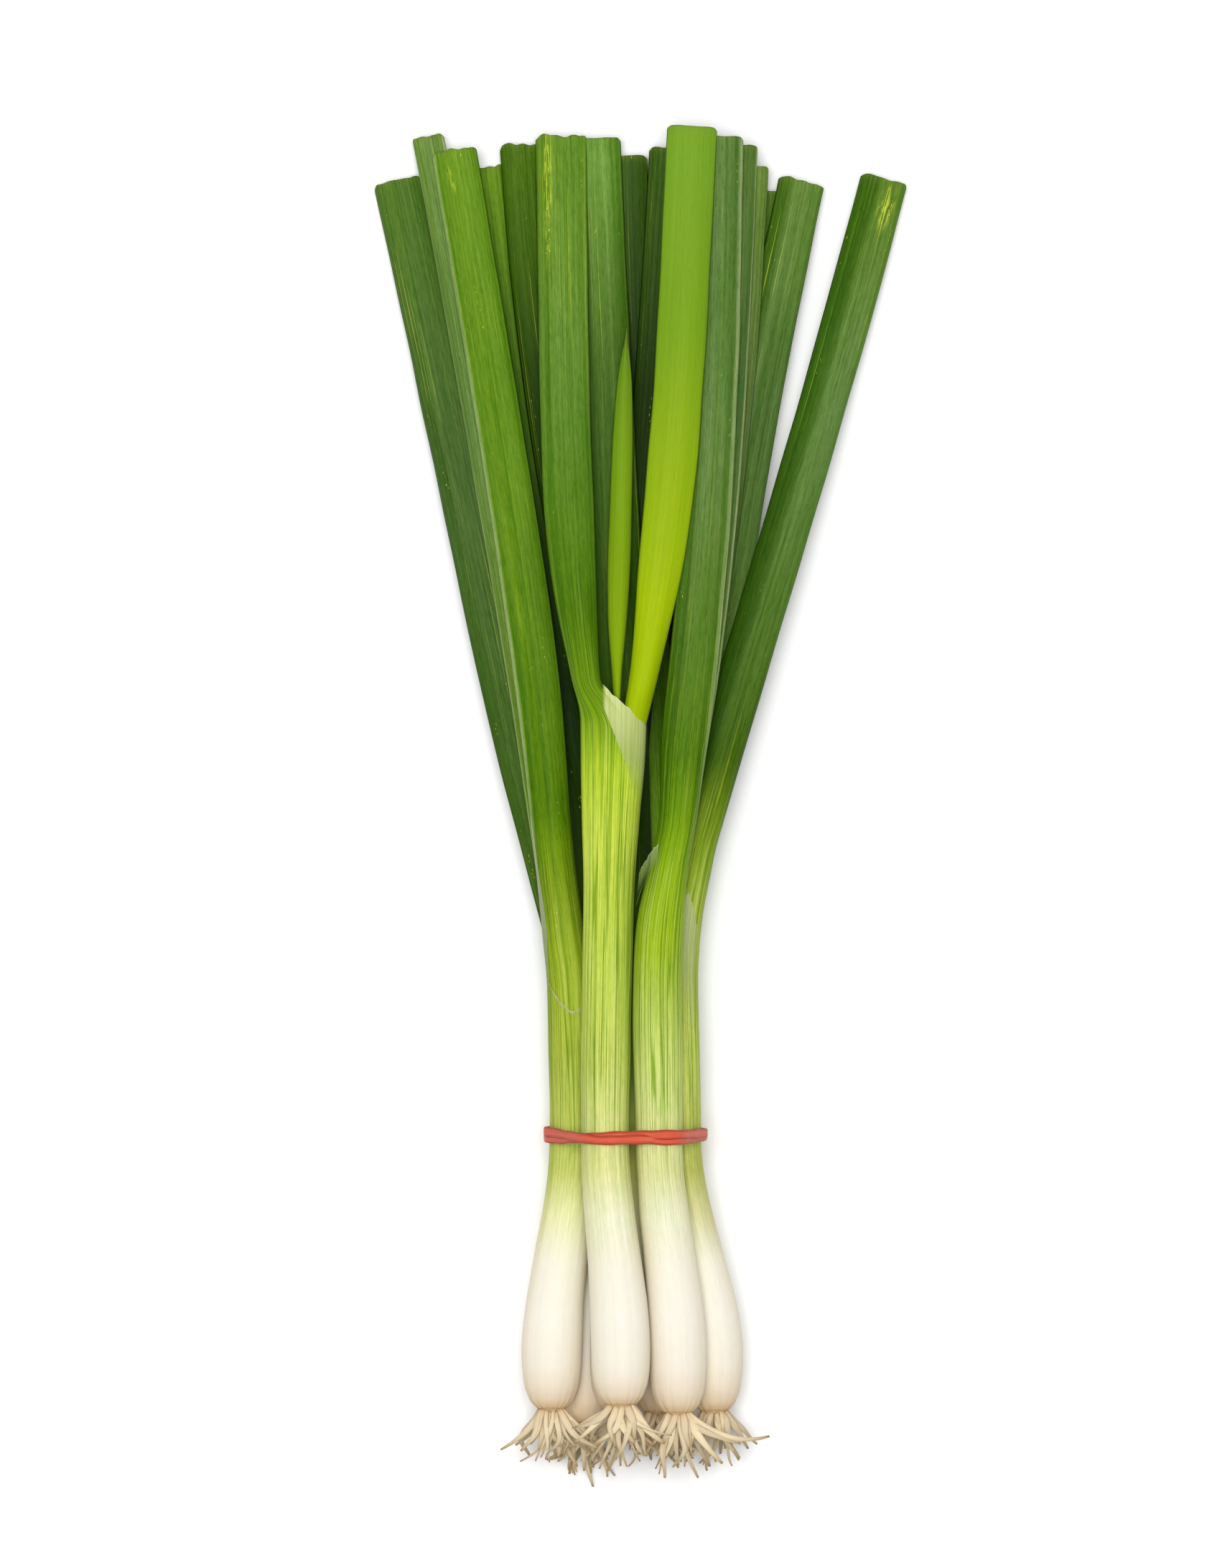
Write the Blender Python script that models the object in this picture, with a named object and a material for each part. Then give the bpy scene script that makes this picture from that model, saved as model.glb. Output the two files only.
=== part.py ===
"""A bunch of seven spring onions, tied with one rubber band and lying on a flat surface.

Each onion is a bulb with its stem, a tuft of roots and three leaves, all cut off at about the same length.
The bunch points along +Y: roots at -Y, leaf tips at +Y. Metres, +Z up, standing on z = 0.

Every stem and leaf is a loft of sections that lie in planes of constant Y. Across the table each follows
its own line. Its height comes from laying the pieces down one by one, lowest first, so that each rests
on the pile below it, a clearance away, whatever the sizes are.
"""

import math
import random
from collections import namedtuple

import bmesh
import bpy
import numpy as np

# Lengths along the bunch, measured from the root plates.
BAND_AT = 0.0725
LEAF_TIPS_AT = 0.3397
BULB_CROWN = 0.014
BULB_LENGTH = 0.058

# Sizes across.
STEM_RADIUS = 0.0066
BULB_RADIUS = 0.0078
PLATE_RADIUS = 0.0045
LEAF_WIDTH = 0.0136
LEAF_THICKNESS = 0.0020
LEAF_CAMBER = 0.0014

# How a leaf changes along its length: thickness at its two ends as a share of LEAF_THICKNESS, the shares of
# its length by which it is flat and as wide as it gets, and how late and how sharply a young one is pointed.
THICK_AT_SEAT = 1.25
THICK_AT_TIP = 0.90
FLAT_BY = 0.34
WIDE_BY = 0.40
POINT_POWER = 5
POINT_LEFT = 0.05

# How late a stem goes oval towards its neck.
OVAL_POWER = 6

# Roots: a plate with three rings of cells, and one root from each cell.
PLATE_THICKNESS = 0.0014
ROOT_LENGTH = 0.0165
ROOT_TAPER = 0.55
ROOT_STEPS = 2
ROOT_CELLS = 8
ROOT_RINGS = (0.25, 0.62, 1.0)
ROOT_SPACING = 0.00022

# The rubber band.
BAND_WIDTH = 0.0042
BAND_THICKNESS = 0.0011
BAND_PINCH = 0.05
BAND_PINCH_LENGTH = 0.011
BAND_SAMPLES = 64

# Fits.
CLEARANCE = 0.0004
SIDE_GAP = 0.0008
SEAT_GAP = 0.0003
BAND_GAP = 0.0003

# How far a leaf comes down towards the table over its length, as a share of its height at the neck.
SAG = 0.80
SAG_POWER = 1.2

# How tightly a piece can bend down past what holds it up: its height falls by this times distance squared.
STEM_BEND = 0.8
LEAF_BEND = 2.5

# Mesh and pile resolution.
RING_STEP = 0.013
RING_MARGIN = 0.004
CROWN_RINGS = 4
STEM_SIDES = 16
LEAF_SIDES = 12
PILE_STEP = 0.0002
PILE_HALF_WIDTH = 0.09

# Colour and roughness of each kind of piece.
FINISHES = {
    "stem": ((0.62, 0.70, 0.33, 1.0), 0.42),
    "leaf": ((0.10, 0.27, 0.05, 1.0), 0.45),
    "bright_leaf": ((0.38, 0.55, 0.07, 1.0), 0.42),
    "young_leaf": ((0.30, 0.52, 0.07, 1.0), 0.42),
    "roots": ((0.78, 0.66, 0.46, 1.0), 0.65),
    "band": ((0.72, 0.08, 0.05, 1.0), 0.40),
}

# An onion's place across the bunch is in bulb pitches at the bulb, and in stem pitches at the band and at
# the neck. plate and neck are where its stem starts and ends, lean is the sideways slope at the neck, and
# wide and flat stretch the round stem into the neck's oval.
Onion = namedtuple("Onion", "name size plate bulb band neck_x neck lean wide flat")

# A leaf starts in its seat, a box in the neck's oval given as (left, right, low, high) shares of its half
# axes, and leaves with slope lean. It ends at tip_x, short of the longest leaf by short, with slope
# tip_lean. roll tilts its tip, right side down.
Leaf = namedtuple("Leaf", "onion seat lean tip_x short tip_lean roll width kind")

FRONT = (-1.0, 1.0, -0.10, 1.0)
MIDDLE = (-0.8, 0.8, -0.44, -0.19)
BACK = (-0.8, 0.8, -1.0, -0.53)
LEFT_HALF = (-1.0, -0.15, -0.8, 0.8)
CENTRE = (-0.11, 0.11, -0.3, 0.5)
RIGHT_HALF = (0.15, 1.0, -0.8, 0.8)

ONIONS = {
    "left": Onion("onion_1", 1.02, 0.0002, -1.22, -1.00, -1.04, 0.113, -0.04, 1.00, 1.00),
    "front_left": Onion("onion_2", 1.00, 0.0021, -0.08, -0.40, -0.29, 0.180, 0.00, 1.38, 0.72),
    "front_right": Onion("onion_3", 0.97, -0.0004, 0.86, 0.64, 0.74, 0.143, 0.13, 1.00, 0.95),
    "right": Onion("onion_4", 1.00, -0.0006, 1.46, 1.00, 1.24, 0.146, 0.28, 1.00, 0.95),
    "core": Onion("onion_5", 0.97, 0.0, -0.12, 0.00, 0.02, 0.152, 0.00, 1.00, 1.00),
    "low_left": Onion("onion_6", 0.98, -0.0042, -0.63, -0.50, -0.64, 0.156, -0.04, 1.00, 0.95),
    "low_right": Onion("onion_7", 0.96, -0.0013, 0.54, 0.50, 0.60, 0.150, 0.03, 1.00, 0.95),
}

LEAVES = {
    "low_left_1": Leaf("low_left", BACK, -0.05, -0.0090, 0.014, -0.03, 6, 0.95, "leaf"),
    "low_left_2": Leaf("low_left", MIDDLE, -0.16, -0.0240, 0.009, -0.12, -8, 0.95, "leaf"),
    "low_left_3": Leaf("low_left", FRONT, -0.22, -0.0376, 0.010, -0.12, 8, 0.86, "leaf"),
    "low_right_1": Leaf("low_right", BACK, 0.06, 0.0125, 0.012, 0.02, -7, 0.95, "leaf"),
    "low_right_2": Leaf("low_right", MIDDLE, 0.20, 0.0295, 0.011, 0.10, 8, 0.95, "leaf"),
    "low_right_3": Leaf("low_right", FRONT, -0.05, -0.0005, 0.007, -0.02, -5, 0.95, "leaf"),
    "core_1": Leaf("core", BACK, 0.05, 0.0120, 0.005, 0.05, 5, 0.86, "leaf"),
    "core_2": Leaf("core", MIDDLE, -0.22, -0.0280, 0.004, -0.06, 6, 0.80, "leaf"),
    "core_3": Leaf("core", FRONT, -0.03, -0.0080, 0.0025, -0.04, 3, 1.02, "leaf"),
    "right_1": Leaf("right", BACK, 0.16, 0.0370, 0.016, 0.14, 10, 0.92, "leaf"),
    "right_2": Leaf("right", MIDDLE, 0.12, 0.0470, 0.0137, 0.23, 6, 0.95, "leaf"),
    "right_3": Leaf("right", FRONT, 0.28, 0.0688, 0.0131, 0.25, 9, 0.97, "leaf"),
    "left_1": Leaf("left", BACK, -0.24, -0.0608, 0.0135, -0.22, -9, 1.00, "leaf"),
    "left_2": Leaf("left", MIDDLE, -0.16, -0.0527, 0.002, -0.20, -16, 0.66, "leaf"),
    "left_3": Leaf("left", FRONT, -0.09, -0.0456, 0.0059, -0.17, -13, 0.93, "leaf"),
    "front_right_1": Leaf("front_right", BACK, 0.20, 0.0330, 0.0100, 0.03, 12, 0.72, "leaf"),
    "front_right_2": Leaf("front_right", MIDDLE, 0.23, 0.0300, 0.0046, 0.04, 10, 0.76, "leaf"),
    "front_right_3": Leaf("front_right", FRONT, 0.18, 0.0248, 0.0025, 0.01, 5, 0.95, "leaf"),
    "front_left_1": Leaf("front_left", LEFT_HALF, -0.15, -0.0173, 0.0019, -0.02, -4, 1.0, "leaf"),
    "front_left_2": Leaf("front_left", RIGHT_HALF, 0.24, 0.0177, 0.0, 0.06, 4, 0.97, "bright_leaf"),
    "front_left_3": Leaf("front_left", CENTRE, 0.01, 0.0001, 0.0581, 0.04, 0, 0.36, "young_leaf"),
}

# The order in which the pieces are laid down, lowest first.
PILE_ORDER = (
    "low_left low_right low_left_1 low_right_1 low_left_2 low_right_2 low_right_3 low_left_3"
    " core core_1 core_2 left right right_1 right_2 core_3 left_1 left_2 right_3"
    " front_right front_right_1 front_right_2 left_3 front_right_3"
    " front_left front_left_3 front_left_1 front_left_2"
).split()


def ease(share):
    """0 to 1 as share goes from 0 to 1, level at both ends."""
    share = np.clip(share, 0.0, 1.0)
    return share * share * (3.0 - 2.0 * share)


def hermite(share, start, start_slope, end, end_slope):
    """A cubic from start to end, with the given slopes per unit of share."""
    s = share
    return (
        (2 * s**3 - 3 * s**2 + 1) * start
        + (s**3 - 2 * s**2 + s) * start_slope
        + (3 * s**2 - 2 * s**3) * end
        + (s**3 - s**2) * end_slope
    )


def tip_at(leaf):
    return LEAF_TIPS_AT - leaf.short


# ---------------------------------------------------------------- where each piece runs, seen from above


def stem_x(onion, along):
    """The stem's place across the bunch."""
    stem_pitch = 2 * STEM_RADIUS + CLEARANCE
    bulb_x = onion.bulb * (2 * BULB_RADIUS + CLEARANCE)
    band_x = onion.band * stem_pitch
    neck_x = onion.neck_x * stem_pitch
    rise = onion.neck - BAND_AT
    crown = onion.plate + BULB_CROWN
    lower = bulb_x + (band_x - bulb_x) * ease((along - crown) / (BAND_AT - crown))
    upper = hermite(np.clip((along - BAND_AT) / rise, 0, 1), band_x, 0.0, neck_x, onion.lean * rise)
    return np.where(along < BAND_AT, lower, upper)


def stem_radius(onion, along):
    """The bulb's round crown, its taper into the stem, and the slight waist under the band."""
    bulb = BULB_RADIUS * onion.size
    crown = np.clip((along - onion.plate) / BULB_CROWN, 0, 1)
    round_end = PLATE_RADIUS + (bulb - PLATE_RADIUS) * np.sqrt(1 - (1 - crown) ** 2)
    taper = ease((along - onion.plate - BULB_CROWN) / (BULB_LENGTH - BULB_CROWN))
    stem = STEM_RADIUS * onion.size
    waist = 1 - BAND_PINCH * np.exp(-(((along - BAND_AT) / BAND_PINCH_LENGTH) ** 2))
    return (round_end + (stem - bulb) * taper) * waist


def stem_axes(onion, along):
    """Half width and half height of the stem, which goes oval towards its neck."""
    radius = stem_radius(onion, along)
    oval = ease((along - BAND_AT) / (onion.neck - BAND_AT)) ** OVAL_POWER
    return radius * (1 + (onion.wide - 1) * oval), radius * (1 + (onion.flat - 1) * oval)


def leaf_share(leaf, along):
    """0 at the leaf's seat, 1 at its tip."""
    start = ONIONS[leaf.onion].neck + SEAT_GAP
    return np.clip((along - start) / (tip_at(leaf) - start), 0, 1)


def leaf_x(leaf, along):
    onion = ONIONS[leaf.onion]
    wide, _ = stem_axes(onion, onion.neck)
    start = stem_x(onion, onion.neck) + wide * (leaf.seat[0] + leaf.seat[1]) / 2
    reach = tip_at(leaf) - onion.neck - SEAT_GAP
    return hermite(leaf_share(leaf, along), start, leaf.lean * reach, leaf.tip_x, leaf.tip_lean * reach)


def leaf_section(leaf, along):
    """(half width, height above the edges, depth below the edges, roll in radians) of a leaf."""
    onion = ONIONS[leaf.onion]
    wide, high = stem_axes(onion, onion.neck)
    left, right, low, top = leaf.seat
    widest = min(max(0.0, low), top)
    seat_half = wide * (right - left) / 2 * math.sqrt(1 - widest**2)
    seat_top, seat_low = high * (top - widest), high * (widest - low)
    share = leaf_share(leaf, along)
    flat = ease(share / FLAT_BY)
    pointed = leaf.kind == "young_leaf"
    narrow = np.sqrt(np.clip(1 - share**POINT_POWER, POINT_LEFT, 1)) if pointed else 1.0
    blade_half = LEAF_WIDTH / 2 * leaf.width
    thick = LEAF_THICKNESS * (THICK_AT_SEAT + (THICK_AT_TIP - THICK_AT_SEAT) * share)
    camber = LEAF_CAMBER * leaf.width
    half = (seat_half + (blade_half - seat_half) * ease(share / WIDE_BY)) * narrow
    above = seat_top + (camber + thick / 2 - seat_top) * flat
    below = seat_low + (thick / 2 - camber - seat_low) * flat
    return half, above * narrow, below * narrow, math.radians(leaf.roll) * ease(share)


def seat_height(leaf):
    """Height of a leaf's edges above the middle of its onion's neck."""
    _, high = stem_axes(ONIONS[leaf.onion], ONIONS[leaf.onion].neck)
    return high * min(max(0.0, leaf.seat[2]), leaf.seat[3])


# ------------------------------------------------------------------------------ laying the pieces down


def shared_stations():
    """The planes at which every piece that crosses them has a ring."""
    return np.arange(BULB_CROWN + RING_STEP, LEAF_TIPS_AT, RING_STEP)


class Piece:
    """A stem or a leaf as a row of rings, straight in between: one at each end and one at every station."""

    def __init__(self, key):
        self.is_stem = key in ONIONS
        self.design = ONIONS[key] if self.is_stem else LEAVES[key]
        self.kind = "stem" if self.is_stem else self.design.kind
        onion = self.design if self.is_stem else ONIONS[self.design.onion]
        self.name = onion.name + ("_stem" if self.is_stem else "_leaf_" + key[-1])
        start = self.design.plate if self.is_stem else ONIONS[self.design.onion].neck + SEAT_GAP
        end = self.design.neck if self.is_stem else tip_at(self.design)
        first = [start]
        if self.is_stem:
            turns = [math.pi / 2 * k / CROWN_RINGS for k in range(CROWN_RINGS + 1)]
            first = [start + BULB_CROWN * (1 - math.cos(turn)) for turn in turns]
        between = [s for s in shared_stations() if first[-1] + RING_MARGIN < s < end - RING_MARGIN]
        self.rings = np.array([*first, *between, end])
        self.outlines = [self.outline(along) for along in self.rings]
        self.heights = np.zeros(len(self.rings))

    def x(self, along):
        return stem_x(self.design, along) if self.is_stem else leaf_x(self.design, along)

    def outline(self, along):
        """A ring's points as (across the bunch, above the piece's middle), anticlockwise from the right."""
        if self.is_stem:
            half, above = stem_axes(self.design, along)
            below, roll, sides = above, 0.0, STEM_SIDES
        else:
            half, above, below, roll = leaf_section(self.design, along)
            sides = LEAF_SIDES
        turn = np.arange(sides) * 2 * math.pi / sides
        across = half * np.cos(turn)
        up = np.where(np.sin(turn) > 0, above, below) * np.sin(turn)
        turned = across * math.cos(roll) + up * math.sin(roll), up * math.cos(roll) - across * math.sin(roll)
        return np.column_stack((turned[0] + self.x(along), turned[1]))

    def between(self, along):
        """The ring before a plane, and the share of the way from it to the next ring."""
        k = int(np.clip(np.searchsorted(self.rings, along, side="right") - 1, 0, len(self.rings) - 2))
        return k, (along - self.rings[k]) / (self.rings[k + 1] - self.rings[k])

    def cut(self, along):
        """Where a plane cuts the piece: the same points as a ring's, straight between the rings."""
        ring, share = self.between(along)
        return self.outlines[ring] * (1 - share) + self.outlines[ring + 1] * share

    def height(self, along):
        return float(np.interp(along, self.rings, self.heights))


class Pile:
    """How high the laid pieces reach, on rows across the table at every ring of every piece."""

    def __init__(self, pieces):
        self.rows = sorted({float(along) for piece in pieces for along in piece.rings})
        self.across = np.arange(-PILE_HALF_WIDTH, PILE_HALF_WIDTH, PILE_STEP)
        self.tops = []
        for row in self.rows:
            under_band = abs(row - BAND_AT) < BAND_WIDTH + RING_STEP
            self.tops.append(np.full(len(self.across), BAND_THICKNESS + BAND_GAP if under_band else 0.0))

    def rows_under(self, piece):
        """For each row that a piece crosses: row number, ring, share, and its two sides over the table."""
        found = []
        for number, row in enumerate(self.rows):
            if piece.rings[0] - 1e-9 <= row <= piece.rings[-1] + 1e-9:
                found.append((number, *piece.between(row), *self.sides(piece.cut(row))))
        return found

    def sides(self, outline):
        """The upper and lower side of an outline at each place across, not-a-number outside it."""
        start, end = outline, np.roll(outline, -1, axis=0)
        run = end[:, 0] - start[:, 0]
        run = np.where(np.abs(run) < 1e-12, 1e-12, run)
        share = (self.across[None, :] - start[:, :1]) / run[:, None]
        up = start[:, 1:] + share * (end - start)[:, 1:]
        up[(share < 0) | (share > 1)] = np.nan
        crossed = ~np.isnan(up).all(axis=0)
        high = np.full(len(self.across), np.nan)
        low = high.copy()
        high[crossed] = np.nanmax(up[:, crossed], axis=0)
        low[crossed] = np.nanmin(up[:, crossed], axis=0)
        return high, low

    def least_height(self, number, low, margin):
        """The lowest that a piece may be on a row."""
        inside = np.flatnonzero(~np.isnan(low))
        reach = round(margin / PILE_STEP)
        places = np.arange(inside[0] - reach, inside[-1] + reach + 1)
        over = low[np.clip(places, inside[0], inside[-1])]
        return (self.tops[number][places] - over).max() + CLEARANCE

    def rest(self, piece, wanted):
        """Lays a piece down: at least as high as wanted, clear of everything below it, and bending gently."""
        margin, bend = (0.0, STEM_BEND) if piece.is_stem else (SIDE_GAP, LEAF_BEND)
        under = self.rows_under(piece)
        piece.heights = wanted
        for number, ring, share, _, low in under:
            gap = piece.rings[ring + 1] - piece.rings[ring]
            kept = self.least_height(number, low, margin) + bend * gap**2 * share * (1 - share)
            drop = bend * (piece.rings - self.rows[number]) ** 2
            piece.heights = np.maximum(piece.heights, kept - drop)
        for number, ring, share, high, _ in under:
            top = high + piece.heights[ring] * (1 - share) + piece.heights[ring + 1] * share
            self.tops[number] = np.fmax(self.tops[number], top)


def wanted_heights(piece, pieces):
    """A stem wants to be down on the table, and a leaf to sag from its seat towards it."""
    if piece.is_stem:
        return np.zeros(len(piece.rings))
    start = pieces[piece.design.onion].heights[-1] + seat_height(piece.design)
    return start * (1 - SAG * leaf_share(piece.design, piece.rings) ** SAG_POWER)


# ---------------------------------------------------------------------------------- making the objects


def material(name, kind):
    """A plain material in the colour of this kind of piece."""
    plain = bpy.data.materials.new(name)
    plain.use_nodes = True
    colour, roughness = FINISHES[kind]
    shader = plain.node_tree.nodes["Principled BSDF"]
    shader.inputs["Base Color"].default_value = colour
    shader.inputs["Roughness"].default_value = roughness
    shader.inputs["Metallic"].default_value = 0.0
    plain.diffuse_color = colour
    return plain


def add_object(name, shape, kind, place):
    """Makes a smooth object from a closed shape and frees the shape."""
    bmesh.ops.recalc_face_normals(shape, faces=shape.faces)
    mesh = bpy.data.meshes.new(name)
    shape.to_mesh(mesh)
    shape.free()
    mesh.materials.append(material(name, kind))
    mesh.shade_smooth()
    mesh.set_sharp_from_angle(angle=math.radians(50))
    obj = bpy.data.objects.new(name, mesh)
    obj.location = place
    bpy.context.collection.objects.link(obj)
    return obj


def loft(rings):
    """A closed shape through rings of points, with a flat cap on each end."""
    shape = bmesh.new()
    rows = [[shape.verts.new(point) for point in ring] for ring in rings]
    for row, following in zip(rows, rows[1:]):
        for i in range(len(row)):
            j = (i + 1) % len(row)
            shape.faces.new((row[i], row[j], following[j], following[i]))
    shape.faces.new(rows[0])
    shape.faces.new(rows[-1])
    return shape


def build_piece(piece):
    """A stem or a leaf as a loft. A leaf's last ring is square to the leaf, which is how it was cut."""
    start_x, start_y = float(piece.x(piece.rings[0])), float(piece.rings[0])
    rings = []
    for along, outline, height in zip(piece.rings, piece.outlines, piece.heights):
        cut = 0.0 if piece.is_stem or along < piece.rings[-1] else piece.design.tip_lean
        middle = float(piece.x(along))
        skewed = along - (outline[:, 0] - middle) * cut
        rings.append([(x - start_x, y - start_y, up + height) for (x, up), y in zip(outline, skewed)])
    return add_object(piece.name, loft(rings), piece.kind, (start_x, start_y, 0.0))


def root_cells(shape):
    """A root plate with its far face cut into cells. Returns the cells."""
    turns = [2 * math.pi * k / ROOT_CELLS for k in range(ROOT_CELLS)]

    def circle(share, depth):
        radius = PLATE_RADIUS * share
        return [shape.verts.new((radius * math.cos(turn), -depth, radius * math.sin(turn))) for turn in turns]

    rings = [circle(share, PLATE_THICKNESS) for share in ROOT_RINGS]
    back = circle(1.0, 0.0)
    cells = [shape.faces.new(rings[0])]
    for inner, outer in zip(rings, rings[1:]):
        for i in range(ROOT_CELLS):
            j = (i + 1) % ROOT_CELLS
            cells.append(shape.faces.new((inner[i], inner[j], outer[j], outer[i])))
    for i in range(ROOT_CELLS):
        j = (i + 1) % ROOT_CELLS
        shape.faces.new((rings[-1][i], rings[-1][j], back[j], back[i]))
    shape.faces.new(back)
    return cells


def build_roots(onion, piece, chance):
    """The root plate under a bulb, and one tapering root grown out of each of its cells."""
    shape = bmesh.new()
    cells = root_cells(shape)
    bmesh.ops.recalc_face_normals(shape, faces=shape.faces)
    bmesh.ops.inset_individual(shape, faces=cells, thickness=ROOT_SPACING)
    shrink = ROOT_TAPER ** (1 / ROOT_STEPS)
    for cell in cells:
        length = ROOT_LENGTH if cell is cells[0] else ROOT_LENGTH * chance.uniform(0.72, 1.0)
        spread = cell.calc_center_median() * (BULB_RADIUS / PLATE_RADIUS - 1) / ROOT_STEPS
        spread.y = -length / ROOT_STEPS
        for _ in range(ROOT_STEPS):
            cell = bmesh.ops.extrude_discrete_faces(shape, faces=[cell])["faces"][0]
            centre = cell.calc_center_median()
            for vert in cell.verts:
                vert.co = centre + (vert.co - centre) * shrink + spread
    place = (float(piece.x(onion.plate)), onion.plate - SEAT_GAP, float(piece.heights[0]))
    return add_object(onion.name + "_roots", shape, "roots", place)


def build_band(stems):
    """A flat band that runs tight round the stems: on their outer sides, and straight across between them."""
    edges = (-BAND_WIDTH / 2, BAND_WIDTH / 2)
    planes = [BAND_AT + edge for edge in edges]
    skins = np.vstack([stem.cut(plane) + (0, stem.height(plane)) for stem in stems for plane in planes])
    shape = bmesh.new()
    rows = []
    for turn in np.arange(BAND_SAMPLES) * 2 * math.pi / BAND_SAMPLES:
        outward = np.array([math.cos(turn), math.sin(turn)])
        inner = skins[np.argmax(skins @ outward)] + outward * BAND_GAP
        outer = inner + outward * BAND_THICKNESS
        corners = ((inner, edges[0]), (outer, edges[0]), (outer, edges[1]), (inner, edges[1]))
        rows.append([shape.verts.new((point[0], edge, point[1])) for point, edge in corners])
    for row, following in zip(rows, rows[1:] + rows[:1]):
        for i in range(4):
            j = (i + 1) % 4
            shape.faces.new((row[i], row[j], following[j], following[i]))
    return add_object("rubber_band", shape, "band", (0.0, BAND_AT, 0.0))


def centre_on_table(objects):
    """Hangs the bunch on one empty, so that the bunch's box is centred on the origin and sits on z = 0."""
    bpy.context.view_layer.update()
    corners = [obj.matrix_world @ vert.co for obj in objects for vert in obj.data.vertices]
    low = [min(c[k] for c in corners) for k in range(3)]
    high = [max(c[k] for c in corners) for k in range(3)]
    holder = bpy.data.objects.new("bunch", None)
    bpy.context.collection.objects.link(holder)
    for obj in objects:
        obj.parent = holder
    holder.location = (-(low[0] + high[0]) / 2, -(low[1] + high[1]) / 2, -low[2])


for old in list(bpy.data.objects):
    bpy.data.objects.remove(old)

pieces = {key: Piece(key) for key in PILE_ORDER}
pile = Pile(pieces.values())
for piece in pieces.values():
    pile.rest(piece, wanted_heights(piece, pieces))

bunch = [build_piece(piece) for piece in pieces.values()]
chance = random.Random(7)
bunch += [build_roots(onion, pieces[key], chance) for key, onion in ONIONS.items()]
bunch.append(build_band([pieces[key] for key in ONIONS]))
centre_on_table(bunch)
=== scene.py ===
"""Looks of a bunch of seven spring onions, tied with a rubber band and lying on a pale floor.

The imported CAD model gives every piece's run: each stem and leaf there is a row of rings in planes of
constant Y. This script reads those rings, lays a smooth surface through them, and gives it the folds,
veins, torn skins, cut ends, roots and colours of the real thing. Metres, +Z up, roots at -Y.
"""

import math
import random
from collections import namedtuple

import bpy
import numpy as np
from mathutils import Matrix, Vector
from mathutils.bvhtree import BVHTree


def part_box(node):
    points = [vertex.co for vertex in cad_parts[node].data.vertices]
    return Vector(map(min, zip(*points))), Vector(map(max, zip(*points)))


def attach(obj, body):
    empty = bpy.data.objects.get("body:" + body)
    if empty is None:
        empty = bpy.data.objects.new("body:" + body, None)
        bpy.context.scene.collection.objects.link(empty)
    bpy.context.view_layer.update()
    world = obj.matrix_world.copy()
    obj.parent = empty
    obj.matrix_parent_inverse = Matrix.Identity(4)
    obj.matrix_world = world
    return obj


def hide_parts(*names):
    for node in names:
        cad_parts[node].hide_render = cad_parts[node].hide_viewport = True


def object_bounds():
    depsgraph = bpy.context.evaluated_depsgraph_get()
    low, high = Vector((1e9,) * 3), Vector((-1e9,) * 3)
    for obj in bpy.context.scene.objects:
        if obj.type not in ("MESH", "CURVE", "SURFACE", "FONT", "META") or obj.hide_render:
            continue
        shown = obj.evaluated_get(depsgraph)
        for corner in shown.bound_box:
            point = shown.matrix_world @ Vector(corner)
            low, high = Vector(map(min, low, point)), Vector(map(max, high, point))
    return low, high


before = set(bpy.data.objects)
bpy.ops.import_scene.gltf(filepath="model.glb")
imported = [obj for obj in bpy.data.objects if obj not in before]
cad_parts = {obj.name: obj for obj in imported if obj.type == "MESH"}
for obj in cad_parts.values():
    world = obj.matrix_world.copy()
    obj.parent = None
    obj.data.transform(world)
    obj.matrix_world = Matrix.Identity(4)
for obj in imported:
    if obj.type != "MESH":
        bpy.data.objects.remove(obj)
CAD_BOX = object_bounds()

BODY = "root"
MM = 0.001

# ---- measures

# Reading the frame: how close in Y a ring's points are, the fewest points in a leaf's ring, and the height
# over width at which a leaf is still thick and upright.
SAME_PLANE = 0.05 * MM
LEAF_RING = 12
THICK_SECTION = 0.7

# How far apart a skin's rings are, and the two stretches where they are finer: a bulb's crown and a tip.
RING_STEP = 1.7 * MM
FINE_STEP = 0.5 * MM
CROWN_LENGTH = 14 * MM
TIP_LENGTH = 5 * MM

# A leaf is a flattened tube, cut open at its end, with rounded corners. The young leaf has a point instead.
WALL = 0.42 * MM
INNER_DEPTH = 16 * MM
CUT_CORNER = 1.1 * MM
POINT_LENGTH = 5 * MM
POINT_SIZE = 0.04
STALK_SIDES = 64
LEAF_SIDES = 52
YOUNG_SIDES = 26

# An inner leaf's foot: how far into the sheath it goes, its size there, and its dive under the mouth.
HIDDEN_START = 12 * MM
HIDDEN_SIZE = 0.70
DIVE_LENGTH = 13 * MM
DIVE_DEPTH = 0.6 * MM

# The young leaf is wider than its solid, and its foot stands a little aside.
YOUNG_WIDTH = 1.3
YOUNG_SHIFT = 1.0 * MM
YOUNG_REACH = 70 * MM

# Where a stalk's round sheath opens into its leaf, before and after the neck.
MOUTH_BEFORE = 6 * MM
MOUTH_AFTER = 9 * MM

# A waist draws one side of a stalk in: (side, depth, where, length), in metres from the root plate.
NO_WAIST = (1, 0.0, 0.145, 0.035)

# How a bulb's foot rounds in to its root plate.
FOOT_LENGTH = 3.2 * MM
FOOT_DRAW = 0.17

# The skin's low relief: soft facets, deeper on a blade, ribs, and puckers round a bulb's root plate.
FACETS = 0.10 * MM
BLADE_FACETS = 0.06 * MM
RIBS = 0.018 * MM
RELIEF_START = 20 * MM
PUCKER = 0.30 * MM
PUCKER_LENGTH = 3.0 * MM
PUCKERS = 17

# A leaf's edges wander by this share of its half width, and its folds deepen over this length from the neck.
EDGE_WANDER = 0.012
FOLD_LENGTH = 50 * MM

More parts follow.
